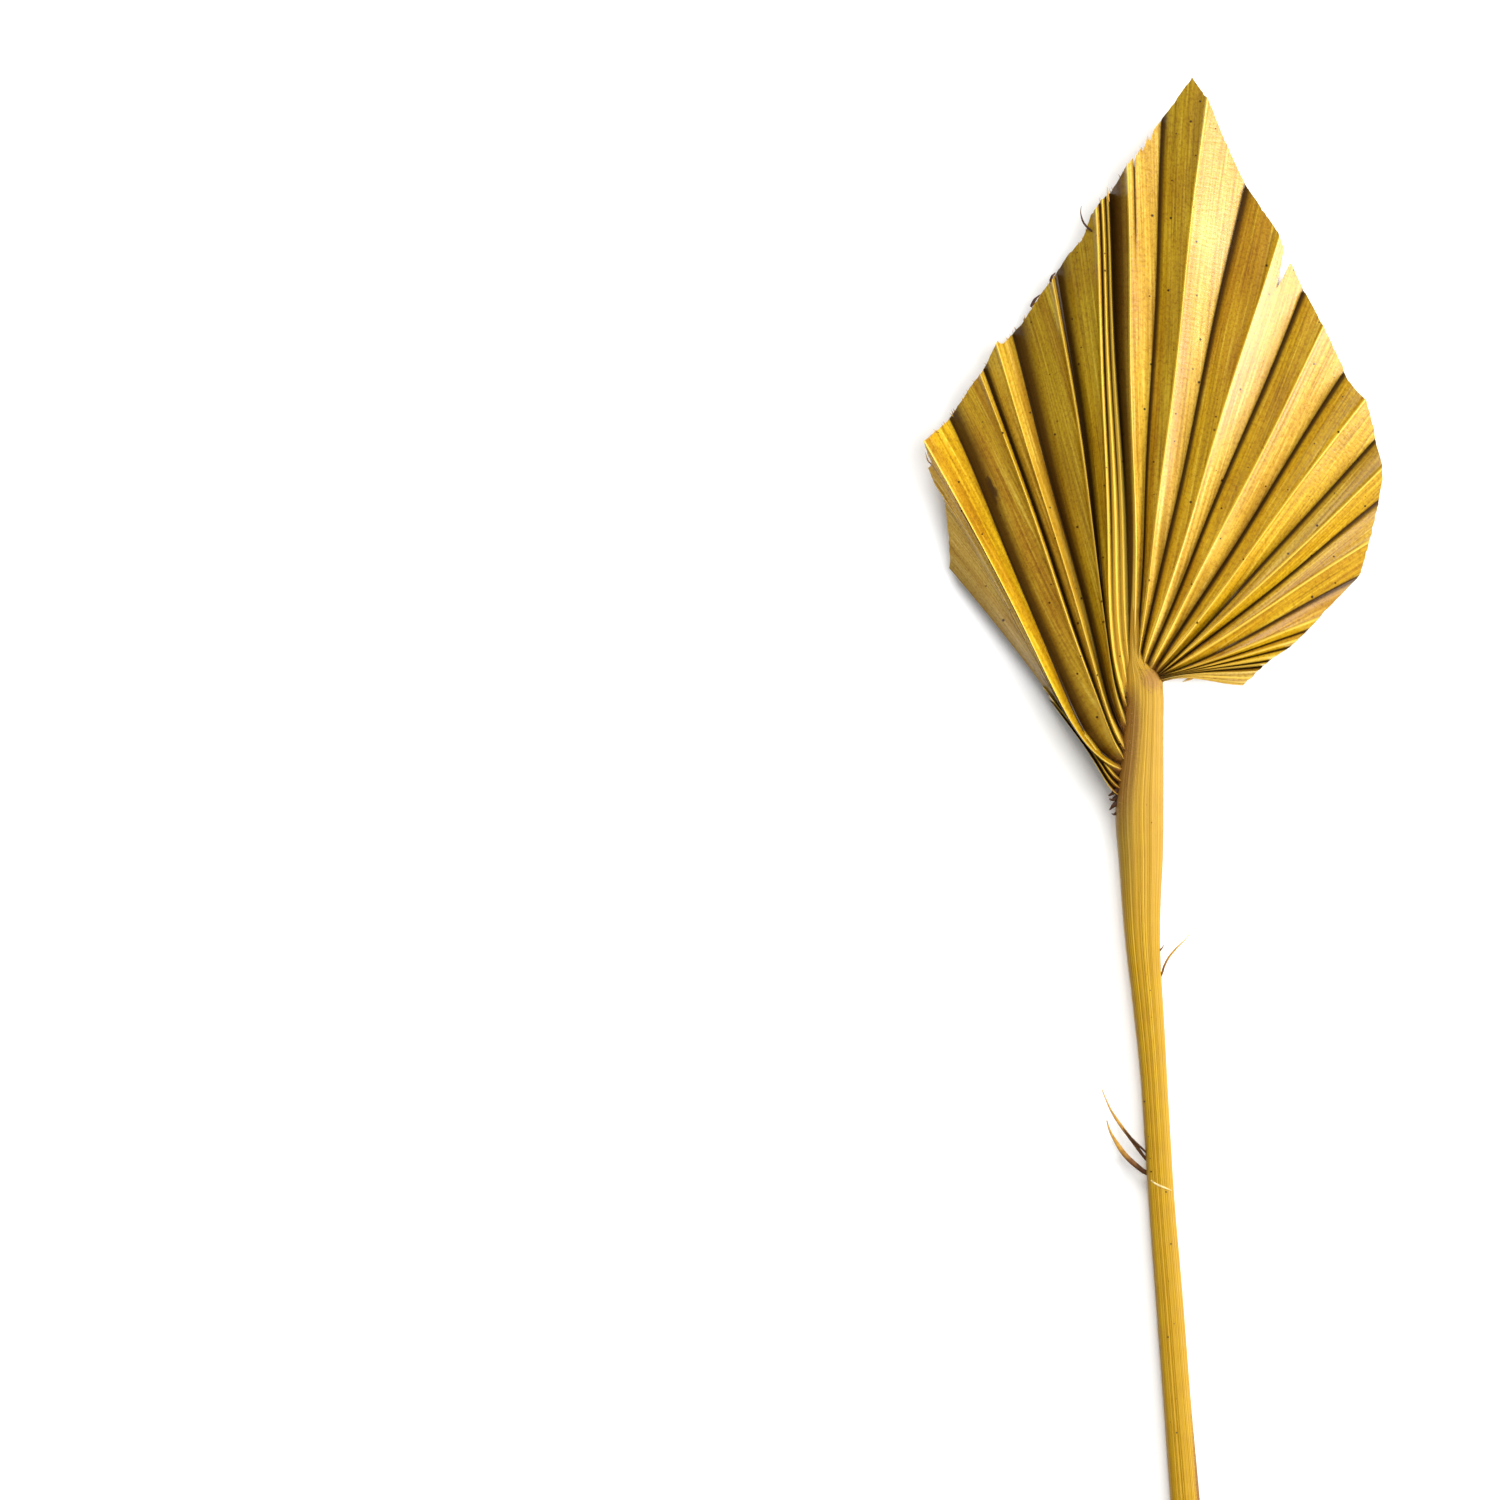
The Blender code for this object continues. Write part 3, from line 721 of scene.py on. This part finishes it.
def finish_skin(tree, skin, colour, relief=()):
    """Put the colour on the skin, then fine relief, each layer on the one before: its strength,
    its depth in millimetres and its pattern."""
    tree.links.new(colour, skin.inputs["Base Color"])
    below = {}
    for strength, depth, pattern in relief:
        bump = add(tree, "ShaderNodeBump", {
            "Strength": strength, "Distance": depth * MM, "Height": pattern, **below})
        below = {"Normal": bump}
        tree.links.new(bump.outputs["Normal"], skin.inputs["Normal"])


def specked(tree, spot, size, skin_colour):
    """Colour with small dark specks of differing size strewn over it, seen from above."""
    speck = add(tree, "ShaderNodeTexVoronoi", {
        "voronoi_dimensions": "2D", "Scale": SPECKS_TO_A_METRE, "Vector": spot})
    chosen = add(tree, "ShaderNodeSeparateColor", {"Color": speck.outputs["Color"]})
    radius = add(tree, "ShaderNodeMapRange", {
        "To Min": 0.2 * size, "To Max": size, "Value": chosen.outputs["Green"]})
    sized = add(tree, "ShaderNodeMath", {"operation": "DIVIDE", 0: speck, 1: radius})
    near = add(tree, "ShaderNodeValToRGB", {"stops": ((0.5, 1.0), (1.0, 0.0)), "Fac": sized})
    rare = add(tree, "ShaderNodeValToRGB", {
        "stops": ((0.5, 0.0), (0.54, 1.0)), "Fac": chosen.outputs["Red"]})
    dark = laid_over(tree, near, (("MULTIPLY", 1.0, rare),))
    return laid_over(tree, skin_colour, (("MIX", dark, dye("#2A1402")),))


def blade_material():
    """Dried palm blade, soaked in yellow dye and pressed: satin, pebbled, veined lengthwise.

    The eye gets gold panels with paler and browner streaks along the veins, painted shade in
    olive on the panels facing away from the lamps and in brown in the bottoms of the folds,
    painted highlights on pale panels and crests, and small dark specks.
    """
    material, tree, skin = new_material("dyed_palm_blade", {
        "IOR": 1.5, "Specular IOR Level": 0.42, "Specular Tint": dye("#FFEBDC")})
    spot = add(tree, "ShaderNodeTexCoord").outputs["Object"]
    veins, dyes, edges = (
        add(tree, "ShaderNodeAttribute", {"attribute_name": label}).outputs["Vector"]
        for label in ("vein_place", "dyes", "edges"))
    olive, tan, shade = add(tree, "ShaderNodeSeparateXYZ", {"Vector": dyes}).outputs
    from_ridge, from_cut, from_root = add(tree, "ShaderNodeSeparateXYZ", {"Vector": edges}).outputs

    # Patterns on the panels: how fine across the veins, along them and from panel to panel
    pattern = {}
    for label, fineness, scale, detail, roughness in (
            # Veins about 0.6 mm apart run the whole length of a panel
            ("streak", (1.7, 0.03, 7.3), 1.0, 4.0, 0.6),
            # Broad bands of stronger and weaker dye, 4 to 6 mm wide
            ("band", (0.22, 0.014, 3.1), 1.0, 3.0, 0.5),
            # Grain of the dry skin, about 0.7 mm across, and puckers across the veins
            ("grain", (1.3, 1.0, 5.7), 1.2, 3.0, 0.65),
            ("pucker", (0.35, 1.1, 4.9), 1.0, 2.0, 0.5)):
        stretched = add(tree, "ShaderNodeMapping", {"Scale": fineness, "Vector": veins})
        pattern[label] = add(tree, "ShaderNodeTexNoise", {
            "Scale": scale, "Detail": detail, "Roughness": roughness, "Vector": stretched})
    pattern["blotch"] = add(tree, "ShaderNodeTexNoise", {
        "Scale": 45.0, "Detail": 4.0, "Roughness": 0.6, "Vector": spot})

    # The painted shade in the fold bottoms is darker where the veins are, and the scurf follows
    # the grain
    uneven = add(tree, "ShaderNodeMapRange", {
        "From Min": 0.3, "From Max": 0.7, "To Min": 0.8, "Value": pattern["streak"]})
    brown = add(tree, "ShaderNodeMath", {"operation": "MULTIPLY", 0: shade, 1: uneven})
    hairy = add(tree, "ShaderNodeMapRange", {"From Min": 7.0, "From Max": 0.0, "Value": from_root})
    woolly = add(tree, "ShaderNodeMath", {
        "operation": "MULTIPLY", 0: hairy, 1: pattern["grain"]})
    drawn = {}
    for label, source, stops in (
            ("gold", pattern["streak"],
             ((0.3, "#93700A"), (0.45, "#B08A0C"), (0.57, "#C09A14"), (0.7, "#D2B640"))),
            # The olive ramp is painted shade for panels facing away from the lamps; the dry ramp
            # gives tan panels, a painted highlight on those facing the key lamp
            ("olive_shade", pattern["streak"], ((0.3, "#745F08"), (0.5, "#917A0C"), (0.7, "#AC962C"))),
            ("dry", pattern["streak"], ((0.3, "#A0802F"), (0.5, "#C2A148"), (0.7, "#DCC078"))),
            ("bands", pattern["band"], ((0.34, "#CCA450"), (0.5, "#FFFFFF"), (0.62, "#FFFFFF"))),
            ("patches", pattern["blotch"], ((0.36, "#DABE80"), (0.6, "#FFFFFF"))),
            ("grains", pattern["grain"], ((0.34, "#BC9C5C"), (0.54, "#FFFFFF"))),
            ("bottom", brown, ((0.0, 0.0), (0.28, 0.25), (0.6, 0.9), (1.0, 0.97))),
            # The crest is a painted highlight along the ridges
            ("crest", from_ridge, ((0.12, 0.8), (0.4, 0.0))),
            ("rim", from_cut, ((0.0, 0.25), (0.4, 0.0))),
            ("scurf", woolly, ((0.2, 0.0), (0.5, 0.85)))):
        drawn[label] = add(tree, "ShaderNodeValToRGB", {"stops": stops, "Fac": source})

    # Olive panels as painted shade and tan panels, partly painted highlight; bands, patches and
    # grain; then painted shade dark in the bottoms of the folds, a painted highlight pale along
    # the crests, the cut edge dried pale and brown scurf next to the stalk
    tinted = laid_over(tree, drawn["gold"], (
        ("MIX", olive, drawn["olive_shade"]),
        ("MIX", tan, drawn["dry"]),
        ("MULTIPLY", 0.5, drawn["bands"]),
        ("MULTIPLY", 0.45, drawn["patches"]),
        ("MULTIPLY", 0.55, drawn["grains"]),
        ("MIX", drawn["bottom"], dye("#2C1604")),
        ("MIX", drawn["crest"], dye("#E2C250")),
        ("MIX", drawn["rim"], dye("#B4944C")),
        ("MIX", drawn["scurf"], dye("#84582A")),
    ))
    rough = add(tree, "ShaderNodeMapRange", {
        "To Min": 0.26, "To Max": 0.42, "Value": pattern["grain"]})
    tree.links.new(rough.outputs["Result"], skin.inputs["Roughness"])
    finish_skin(tree, skin, specked(tree, spot, 0.075, tinted), (
        (0.6, 0.12, pattern["streak"]), (0.25, 0.12, pattern["grain"]),
        (0.35, 0.15, pattern["pucker"])))
    return material


def stalk_material():
    """Dried palm stalk, dyed with the blade: hard, smooth, with long fibres under the skin.

    The eye gets a warm yellow rod with fine lengthwise lines, paler below the blade, painted
    shade in olive brown down the left side below the blade, brown scurf by the blade and dark
    stains low on the right.
    """
    material, tree, skin = new_material("dyed_palm_stalk", {
        "Roughness": 0.45, "IOR": 1.45, "Specular IOR Level": 0.3,
        "Specular Tint": dye("#FFE8B0")})
    spot = add(tree, "ShaderNodeTexCoord").outputs["Object"]
    place = add(tree, "ShaderNodeAttribute", {"attribute_name": "vein_place"}).outputs["Vector"]
    across = add(tree, "ShaderNodeAttribute", {"attribute_name": "across"}).outputs["Fac"]
    upward = add(tree, "ShaderNodeSeparateXYZ", {"Vector": place}).outputs["Y"]

    # Long fibres about 0.4 mm apart, then fine mottling and broad blotches
    long_lines = add(tree, "ShaderNodeMapping", {"Scale": (3.9, 0.004, 1.0), "Vector": place})
    streak, fine, blotch = (
        add(tree, "ShaderNodeTexNoise", {
            "Scale": scale, "Detail": detail, "Roughness": roughness, "Vector": source})
        for scale, detail, roughness, source in (
            (1.0, 2.0, 0.5, long_lines), (1.6, 4.0, 0.7, place), (0.16, 4.0, 0.5, place)))

    # Zones up the stalk and across it: where each begins and where it is full
    zone = {}
    for label, source, begins, full in (
            ("below the blade", upward, -80.0, -30.0),
            ("below the strip", upward, 6.0, -8.0),
            ("by the roots", upward, -48.0, -20.0),
            ("low", upward, -180.0, -240.0),
            ("cut end", upward, STALK[-1][0] + 0.3, STALK[-1][0] + 0.05),
            ("left third", across, -0.05, -0.5),
            ("left edge", across, 0.1, -0.7),
            ("right edge", across, 0.5, 1.0)):
        zone[label] = add(tree, "ShaderNodeMapRange", {
            "From Min": begins, "From Max": full, "Value": source})

    away = add(tree, "ShaderNodeVectorMath", {
        "operation": "DISTANCE", 0: spot, 1: in_frame(SHOULDER)})
    shoulder = add(tree, "ShaderNodeMapRange", {
        "From Min": 5.5 * MM, "From Max": 1.0 * MM, "Value": away.outputs["Value"]})
    # The cut end shows pale pith with darker fibre ends about a millimetre apart
    ends = add(tree, "ShaderNodeTexVoronoi", {"Scale": 1100.0, "Vector": spot})

    # Marks that lie where several zones meet, broken up by a pattern
    met = {}
    for label, shares in (
            # The ribs mark is painted shade down the left side, which turns away from the lamps,
            # broken up by the streaks
            ("ribs", (zone["below the blade"], zone["left third"], zone["below the strip"],
                      streak)),
            ("rust", (zone["by the roots"], zone["left edge"], fine, zone["below the strip"])),
            ("rough", (shoulder, fine)),
            ("stain", (zone["low"], zone["right edge"], fine))):
        met[label] = shares[0]
        for share in shares[1:]:
            met[label] = add(tree, "ShaderNodeMath", {
                "operation": "MULTIPLY", 0: met[label], 1: share})
    drawn = {}
    for label, source, stops in (
            ("rod", streak,
             ((0.28, "#76580A"), (0.44, "#94700A"), (0.58, "#A8820E"), (0.74, "#C09C2A"))),
            ("patches", blotch, ((0.35, "#DABC78"), (0.6, "#FFFFFF"))),
            ("paler", zone["below the blade"], ((0.0, 0.0), (1.0, 0.3))),
            ("painted left shade", met["ribs"], ((0.1, 0.0), (0.5, 0.9))),
            ("scurf", met["rust"], ((0.1, 0.0), (0.34, 0.9))),
            ("rough patch", met["rough"], ((0.16, 0.0), (0.42, 0.85))),
            ("stain", met["stain"], ((0.14, 0.0), (0.26, 0.95))),
            ("pith", ends, ((0.2, "#8A6230"), (0.45, "#D8C08A")))):
        drawn[label] = add(tree, "ShaderNodeValToRGB", {"stops": stops, "Fac": source})
    rod = laid_over(tree, drawn["rod"], (
        ("MULTIPLY", 0.2, drawn["patches"]),
        ("MIX", drawn["paler"], dye("#A88644")),
        ("MIX", drawn["painted left shade"], dye("#745E22")),
        ("MIX", drawn["scurf"], dye("#74501F")),
        ("MIX", drawn["rough patch"], dye("#8C6432")),
        ("MIX", drawn["stain"], dye("#6A4418")),
    ))
    rod = laid_over(tree, specked(tree, spot, 0.06, rod), (
        ("MIX", zone["cut end"], drawn["pith"]),))
    finish_skin(tree, skin, rod, ((0.7, 0.25, streak), (0.4, 0.2, fine)))
    return material


def torn_fibre_material():
    """Torn strands of dry palm: woody, dark at the root where they pulled away, tan at the tip."""
    material, tree, skin = new_material("torn_palm_fibre", {
        "Roughness": 0.6, "Specular IOR Level": 0.25})
    spot = add(tree, "ShaderNodeTexCoord").outputs["Object"]
    share = add(tree, "ShaderNodeAttribute", {"attribute_name": "toward_tip"})
    tone = add(tree, "ShaderNodeAttribute", {"attribute_name": "tone"})
    paler = add(tree, "ShaderNodeMath", {
        "operation": "MULTIPLY_ADD", 0: share.outputs["Fac"], 1: 0.6, 2: tone.outputs["Fac"]})
    mottle = add(tree, "ShaderNodeTexNoise", {"Scale": 900.0, "Detail": 3.0, "Vector": spot})
    strand = add(tree, "ShaderNodeValToRGB", {
        "stops": ((0.3, "#46270E"), (0.52, "#744A1C"), (0.66, "#B88A30"), (0.9, "#CCA040"),
                  (1.0, "#DCC88C")), "Fac": paler})
    shade = add(tree, "ShaderNodeValToRGB", {
        "stops": ((0.3, "#8F6A44"), (0.7, "#FFFFFF")), "Fac": mottle})
    finish_skin(tree, skin, laid_over(tree, strand, (("MULTIPLY", 0.6, shade),)))
    return material


def scurf_material():
    """Scurf: the dead woolly skin left where a palm blade grows out of its stalk, dull brown."""
    material, tree, skin = new_material("palm_scurf", {"Roughness": 0.8})
    spot = add(tree, "ShaderNodeTexCoord").outputs["Object"]
    mottle = add(tree, "ShaderNodeTexNoise", {"Scale": 700.0, "Detail": 2.0, "Vector": spot})
    wool = add(tree, "ShaderNodeValToRGB", {
        "stops": ((0.3, "#4E3014"), (0.5, "#845729"), (0.72, "#B08A50")), "Fac": mottle})
    finish_skin(tree, skin, wool.outputs["Color"])
    return material


def fuzz_paths():
    """Short broken fibres along the ragged left edge, each lying in the plane of its panel."""
    rng = np.random.default_rng(11)
    paths = []
    for bearing in rng.uniform(*FUZZ_BEARINGS, FUZZ):
        left, part = panel_at(bearing)
        share = panel_share(left, part)
        height = fold_height(left, 1.0) * (1.0 - share) + fold_height(left + 1, 1.0) * share
        edge = cut_point(bearing)
        out = edge / np.linalg.norm(edge)
        lean = np.array((out[1], -out[0])) * rng.uniform(-0.5, 0.5)
        length = FUZZ_LENGTH * rng.uniform(0.3, 1.0)
        path = []
        for step in (-1.2, 0.0, 0.6, 1.0):
            flat = edge + (out * step + lean * step * abs(step)) * length
            path.append((flat[0], flat[1], height))
        paths.append((tuple(path), rng.uniform(0.07, 0.14), rng.uniform(0.2, 0.6)))
    return tuple(paths)


def growth_tree(name, sizes):
    """Tree that takes a mesh and named sizes, with its start and the value for each size."""
    tree = bpy.data.node_groups.new(name, "GeometryNodeTree")
    face = tree.interface
    face.new_socket("Geometry", in_out="INPUT", socket_type="NodeSocketGeometry")
    values = {}
    for label, value in sizes.items():
        socket = face.new_socket(label, in_out="INPUT", socket_type="NodeSocketFloat")
        values[socket.identifier] = value
    face.new_socket("Geometry", in_out="OUTPUT", socket_type="NodeSocketGeometry")
    return tree, add(tree, "NodeGroupInput"), values


def grown(name, mesh, tree, shape, material, values):
    """End the tree with its shape, run it on a mesh and keep the result as a plain mesh."""
    real = add(tree, "GeometryNodeRealizeInstances", {"Geometry": shape})
    painted = add(tree, "GeometryNodeSetMaterial", {"Material": material, "Geometry": real})
    add(tree, "NodeGroupOutput", {"Geometry": painted})
    made = new_object(name, mesh)
    modifier = made.modifiers.new("growth", "NODES")
    modifier.node_group = tree
    for identifier, value in values.items():
        modifier[identifier] = value
    bpy.context.view_layer.update()
    result = made.evaluated_get(bpy.context.evaluated_depsgraph_get())
    plain = bpy.data.meshes.new_from_object(result)
    made.modifiers.clear()
    made.data = plain
    plain.shade_smooth()
    return made


def make_fibres(material):
    """Tapered strands along their paths, made by a tree with a named size."""
    tree, start, values = growth_tree("torn_strands", {"Flatness": 0.55})
    curve = add(tree, "GeometryNodeMeshToCurve", {"Mesh": start.outputs["Geometry"]})
    smooth = add(tree, "GeometryNodeCurveSplineType", {
        "spline_type": "CATMULL_ROM", "Curve": curve})
    finer = add(tree, "GeometryNodeResampleCurve", {"Count": 24, "Curve": smooth})
    place = add(tree, "GeometryNodeSplineParameter").outputs["Factor"]
    thick = add(tree, "GeometryNodeInputNamedAttribute", {"Name": "root_radius"})
    taper = add(tree, "ShaderNodeFloatCurve", {"Value": place})
    outline = taper.mapping.curves[0]
    outline.points[0].location = (0.0, 0.75)
    outline.points[1].location = (1.0, 0.22)
    outline.points.new(0.4, 1.0)
    outline.points.new(0.8, 0.5)
    taper.mapping.update()
    radius = add(tree, "ShaderNodeMath", {"operation": "MULTIPLY", 0: thick, 1: taper})
    sized = add(tree, "GeometryNodeSetCurveRadius", {"Curve": finer, "Radius": radius})
    marked = add(tree, "GeometryNodeStoreNamedAttribute", {
        "Name": "toward_tip", "Geometry": sized, "Value": place})
    circle = add(tree, "GeometryNodeCurvePrimitiveCircle", {"Resolution": 10, "Radius": 1.0})
    flat = add(tree, "ShaderNodeCombineXYZ", {"X": 1.0, "Y": start.outputs["Flatness"], "Z": 1.0})
    flattened = add(tree, "GeometryNodeTransform", {"Geometry": circle, "Scale": flat})
    strands = add(tree, "GeometryNodeCurveToMesh", {
        "Fill Caps": True, "Curve": marked, "Profile Curve": flattened, "Scale": radius})
    vertices = []
    edges = []
    radii = []
    tones = []
    for path, thickness, tone in FIBRES + fuzz_paths():
        for k, point in enumerate(path):
            if k:
                edges.append((len(vertices) - 1, len(vertices)))
            vertices.append(in_frame(point))
            radii.append(thickness * MM)
            tones.append(tone)
    mesh = bpy.data.meshes.new("torn_fibres")
    mesh.from_pydata(vertices, edges, [])
    keep_values(mesh, "root_radius", "FLOAT", radii)
    keep_values(mesh, "tone", "FLOAT", tones)
    return grown("torn_fibres", mesh, tree, strands, material, values)


def make_scurf(material):
    """Brown woolly shards scattered where the folds leave the stalk, by a tree with named
    sizes; they grow on a narrow bed laid on the stalk."""
    tree, start, values = growth_tree("scattered_scurf", {
        "Shards per area": SCURF_DENSITY / MM ** 2, "Shard length": SCURF_LENGTH * MM,
        "Shard radius": SCURF_RADIUS * MM})
    places = add(tree, "GeometryNodeDistributePointsOnFaces", {
        "Seed": 4, "Mesh": start.outputs["Geometry"], "Density": start.outputs["Shards per area"]})
    shard = add(tree, "GeometryNodeMeshCone", {
        "Vertices": 5, "Radius Top": 0.0, "Radius Bottom": start.outputs["Shard radius"],
        "Depth": start.outputs["Shard length"]})
    turn = add(tree, "FunctionNodeRandomValue", {
        "data_type": "FLOAT_VECTOR", "Seed": 9, "Min": (0.5, -0.9, 0.0), "Max": (1.9, 0.9, 6.283)})
    growth = add(tree, "FunctionNodeRandomValue", {
        "data_type": "FLOAT", "Seed": 2, 2: 0.35, 3: 1.0})
    shards = add(tree, "GeometryNodeInstanceOnPoints", {
        "Points": places, "Instance": shard, "Rotation": turn, "Scale": growth.outputs[1]})
    vertices = []
    faces = []
    for bed in SCURF_BEDS:
        for row in bed:
            if row != bed[0]:
                last = len(vertices)
                faces.append((last - 2, last - 1, last + 1, last))
            for x in row[1:]:
                vertices.append(in_frame((x, row[0], stalk_top(x, row[0]))))
    mesh = bpy.data.meshes.new("root_scurf")
    mesh.from_pydata(vertices, [], faces)
    return grown("root_scurf", mesh, tree, shards, material, values)


def aim(item, target):
    """Turn a lamp to look at a point."""
    away = np.array(target) - np.array(item.location)
    flat = math.hypot(away[0], away[1])
    item.rotation_euler = (math.atan2(flat, -away[2]), 0.0, math.atan2(-away[0], away[1]))


def add_lamp(name, location, target, size, power, colour):
    """Square soft lamp."""
    lamp = bpy.data.lights.new(name, "AREA")
    lamp.size = size
    lamp.energy = power
    lamp.color = colour
    made = new_object(name, lamp)
    made.location = location
    aim(made, target)


def make_studio():
    """Pale table, camera straight above, two lamps on the right and soft light all round."""
    mesh = bpy.data.meshes.new("table")
    mesh.from_pydata([(-6, -6, 0), (6, -6, 0), (6, 6, 0), (-6, 6, 0)], [], [(0, 1, 2, 3)])
    table = new_object("table", mesh)
    table.location.z = -0.0002
    mesh.materials.append(new_material("pale_table", {
        "Base Color": dye("#FCFCFB"), "Roughness": 0.9})[0])
    centre_x = ((PICTURE_SIDE / 2 - HEART_PIXEL[0]) * PIXEL + HEART[0]) * MM
    centre_y = ((HEART_PIXEL[1] - PICTURE_SIDE / 2) * PIXEL + HEART[1]) * MM
    field = PICTURE_SIDE * PIXEL * MM
    lens = bpy.data.cameras.new("camera")
    lens.lens = CAMERA_LENS
    lens.sensor_width = SENSOR
    lens.clip_end = 50.0
    camera = new_object("camera", lens)
    camera.location = (centre_x, centre_y, field * CAMERA_LENS / SENSOR + ROOT_HEIGHT * MM)
    bpy.context.scene.camera = camera
    add_lamp("key", (1.6, -0.2, 0.98), (0.0, 0.1, 0.0), 0.55, 40.0, (1.0, 0.99, 0.97))
    add_lamp("low", (1.75, -0.25, 0.5), (0.0, 0.1, 0.0), 0.4, 13.0, (1.0, 0.99, 0.97))
    add_lamp("overhead", (1.0, 0.3, 3.2), (0.0, 0.0, 0.0), 2.0, 52.0, (1.0, 1.0, 1.0))
    add_lamp("window", (-0.35, 1.7, 1.3), (0.0, 0.05, 0.0), 1.0, 34.0, (1.0, 1.0, 1.0))
    world = bpy.data.worlds.new("room")
    world.use_nodes = True
    sky = world.node_tree.nodes["Background"]
    sky.inputs["Color"].default_value = (1.0, 1.0, 1.0, 1.0)
    sky.inputs["Strength"].default_value = 0.4
    bpy.context.scene.world = world
    bpy.context.scene.view_settings.view_transform = "Standard"


def keep_piece(piece, material=None):
    """Finish a piece: its material, the body it belongs to and the solid it stands for."""
    if material:
        piece.data.materials.clear()
        piece.data.materials.append(material)
    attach(piece, "root")
    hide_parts("fan_palm_leaf")


blade = make_sheet("blade", [blade_line(bearing) for bearing in blade_bearings()])
tuck_places = [divmod(k, TUCK_LINES) for k in range(TUCK_LINES * (len(TUCK) - 1) + 1)]
tuck = make_sheet("tuck", [tuck_line(number, k / TUCK_LINES) for number, k in tuck_places])
blade_look = blade_material()
keep_piece(blade, blade_look)
keep_piece(tuck, blade_look)
keep_piece(make_stalk(), stalk_material())
keep_piece(make_fibres(torn_fibre_material()))
keep_piece(make_scurf(scurf_material()))
make_studio()
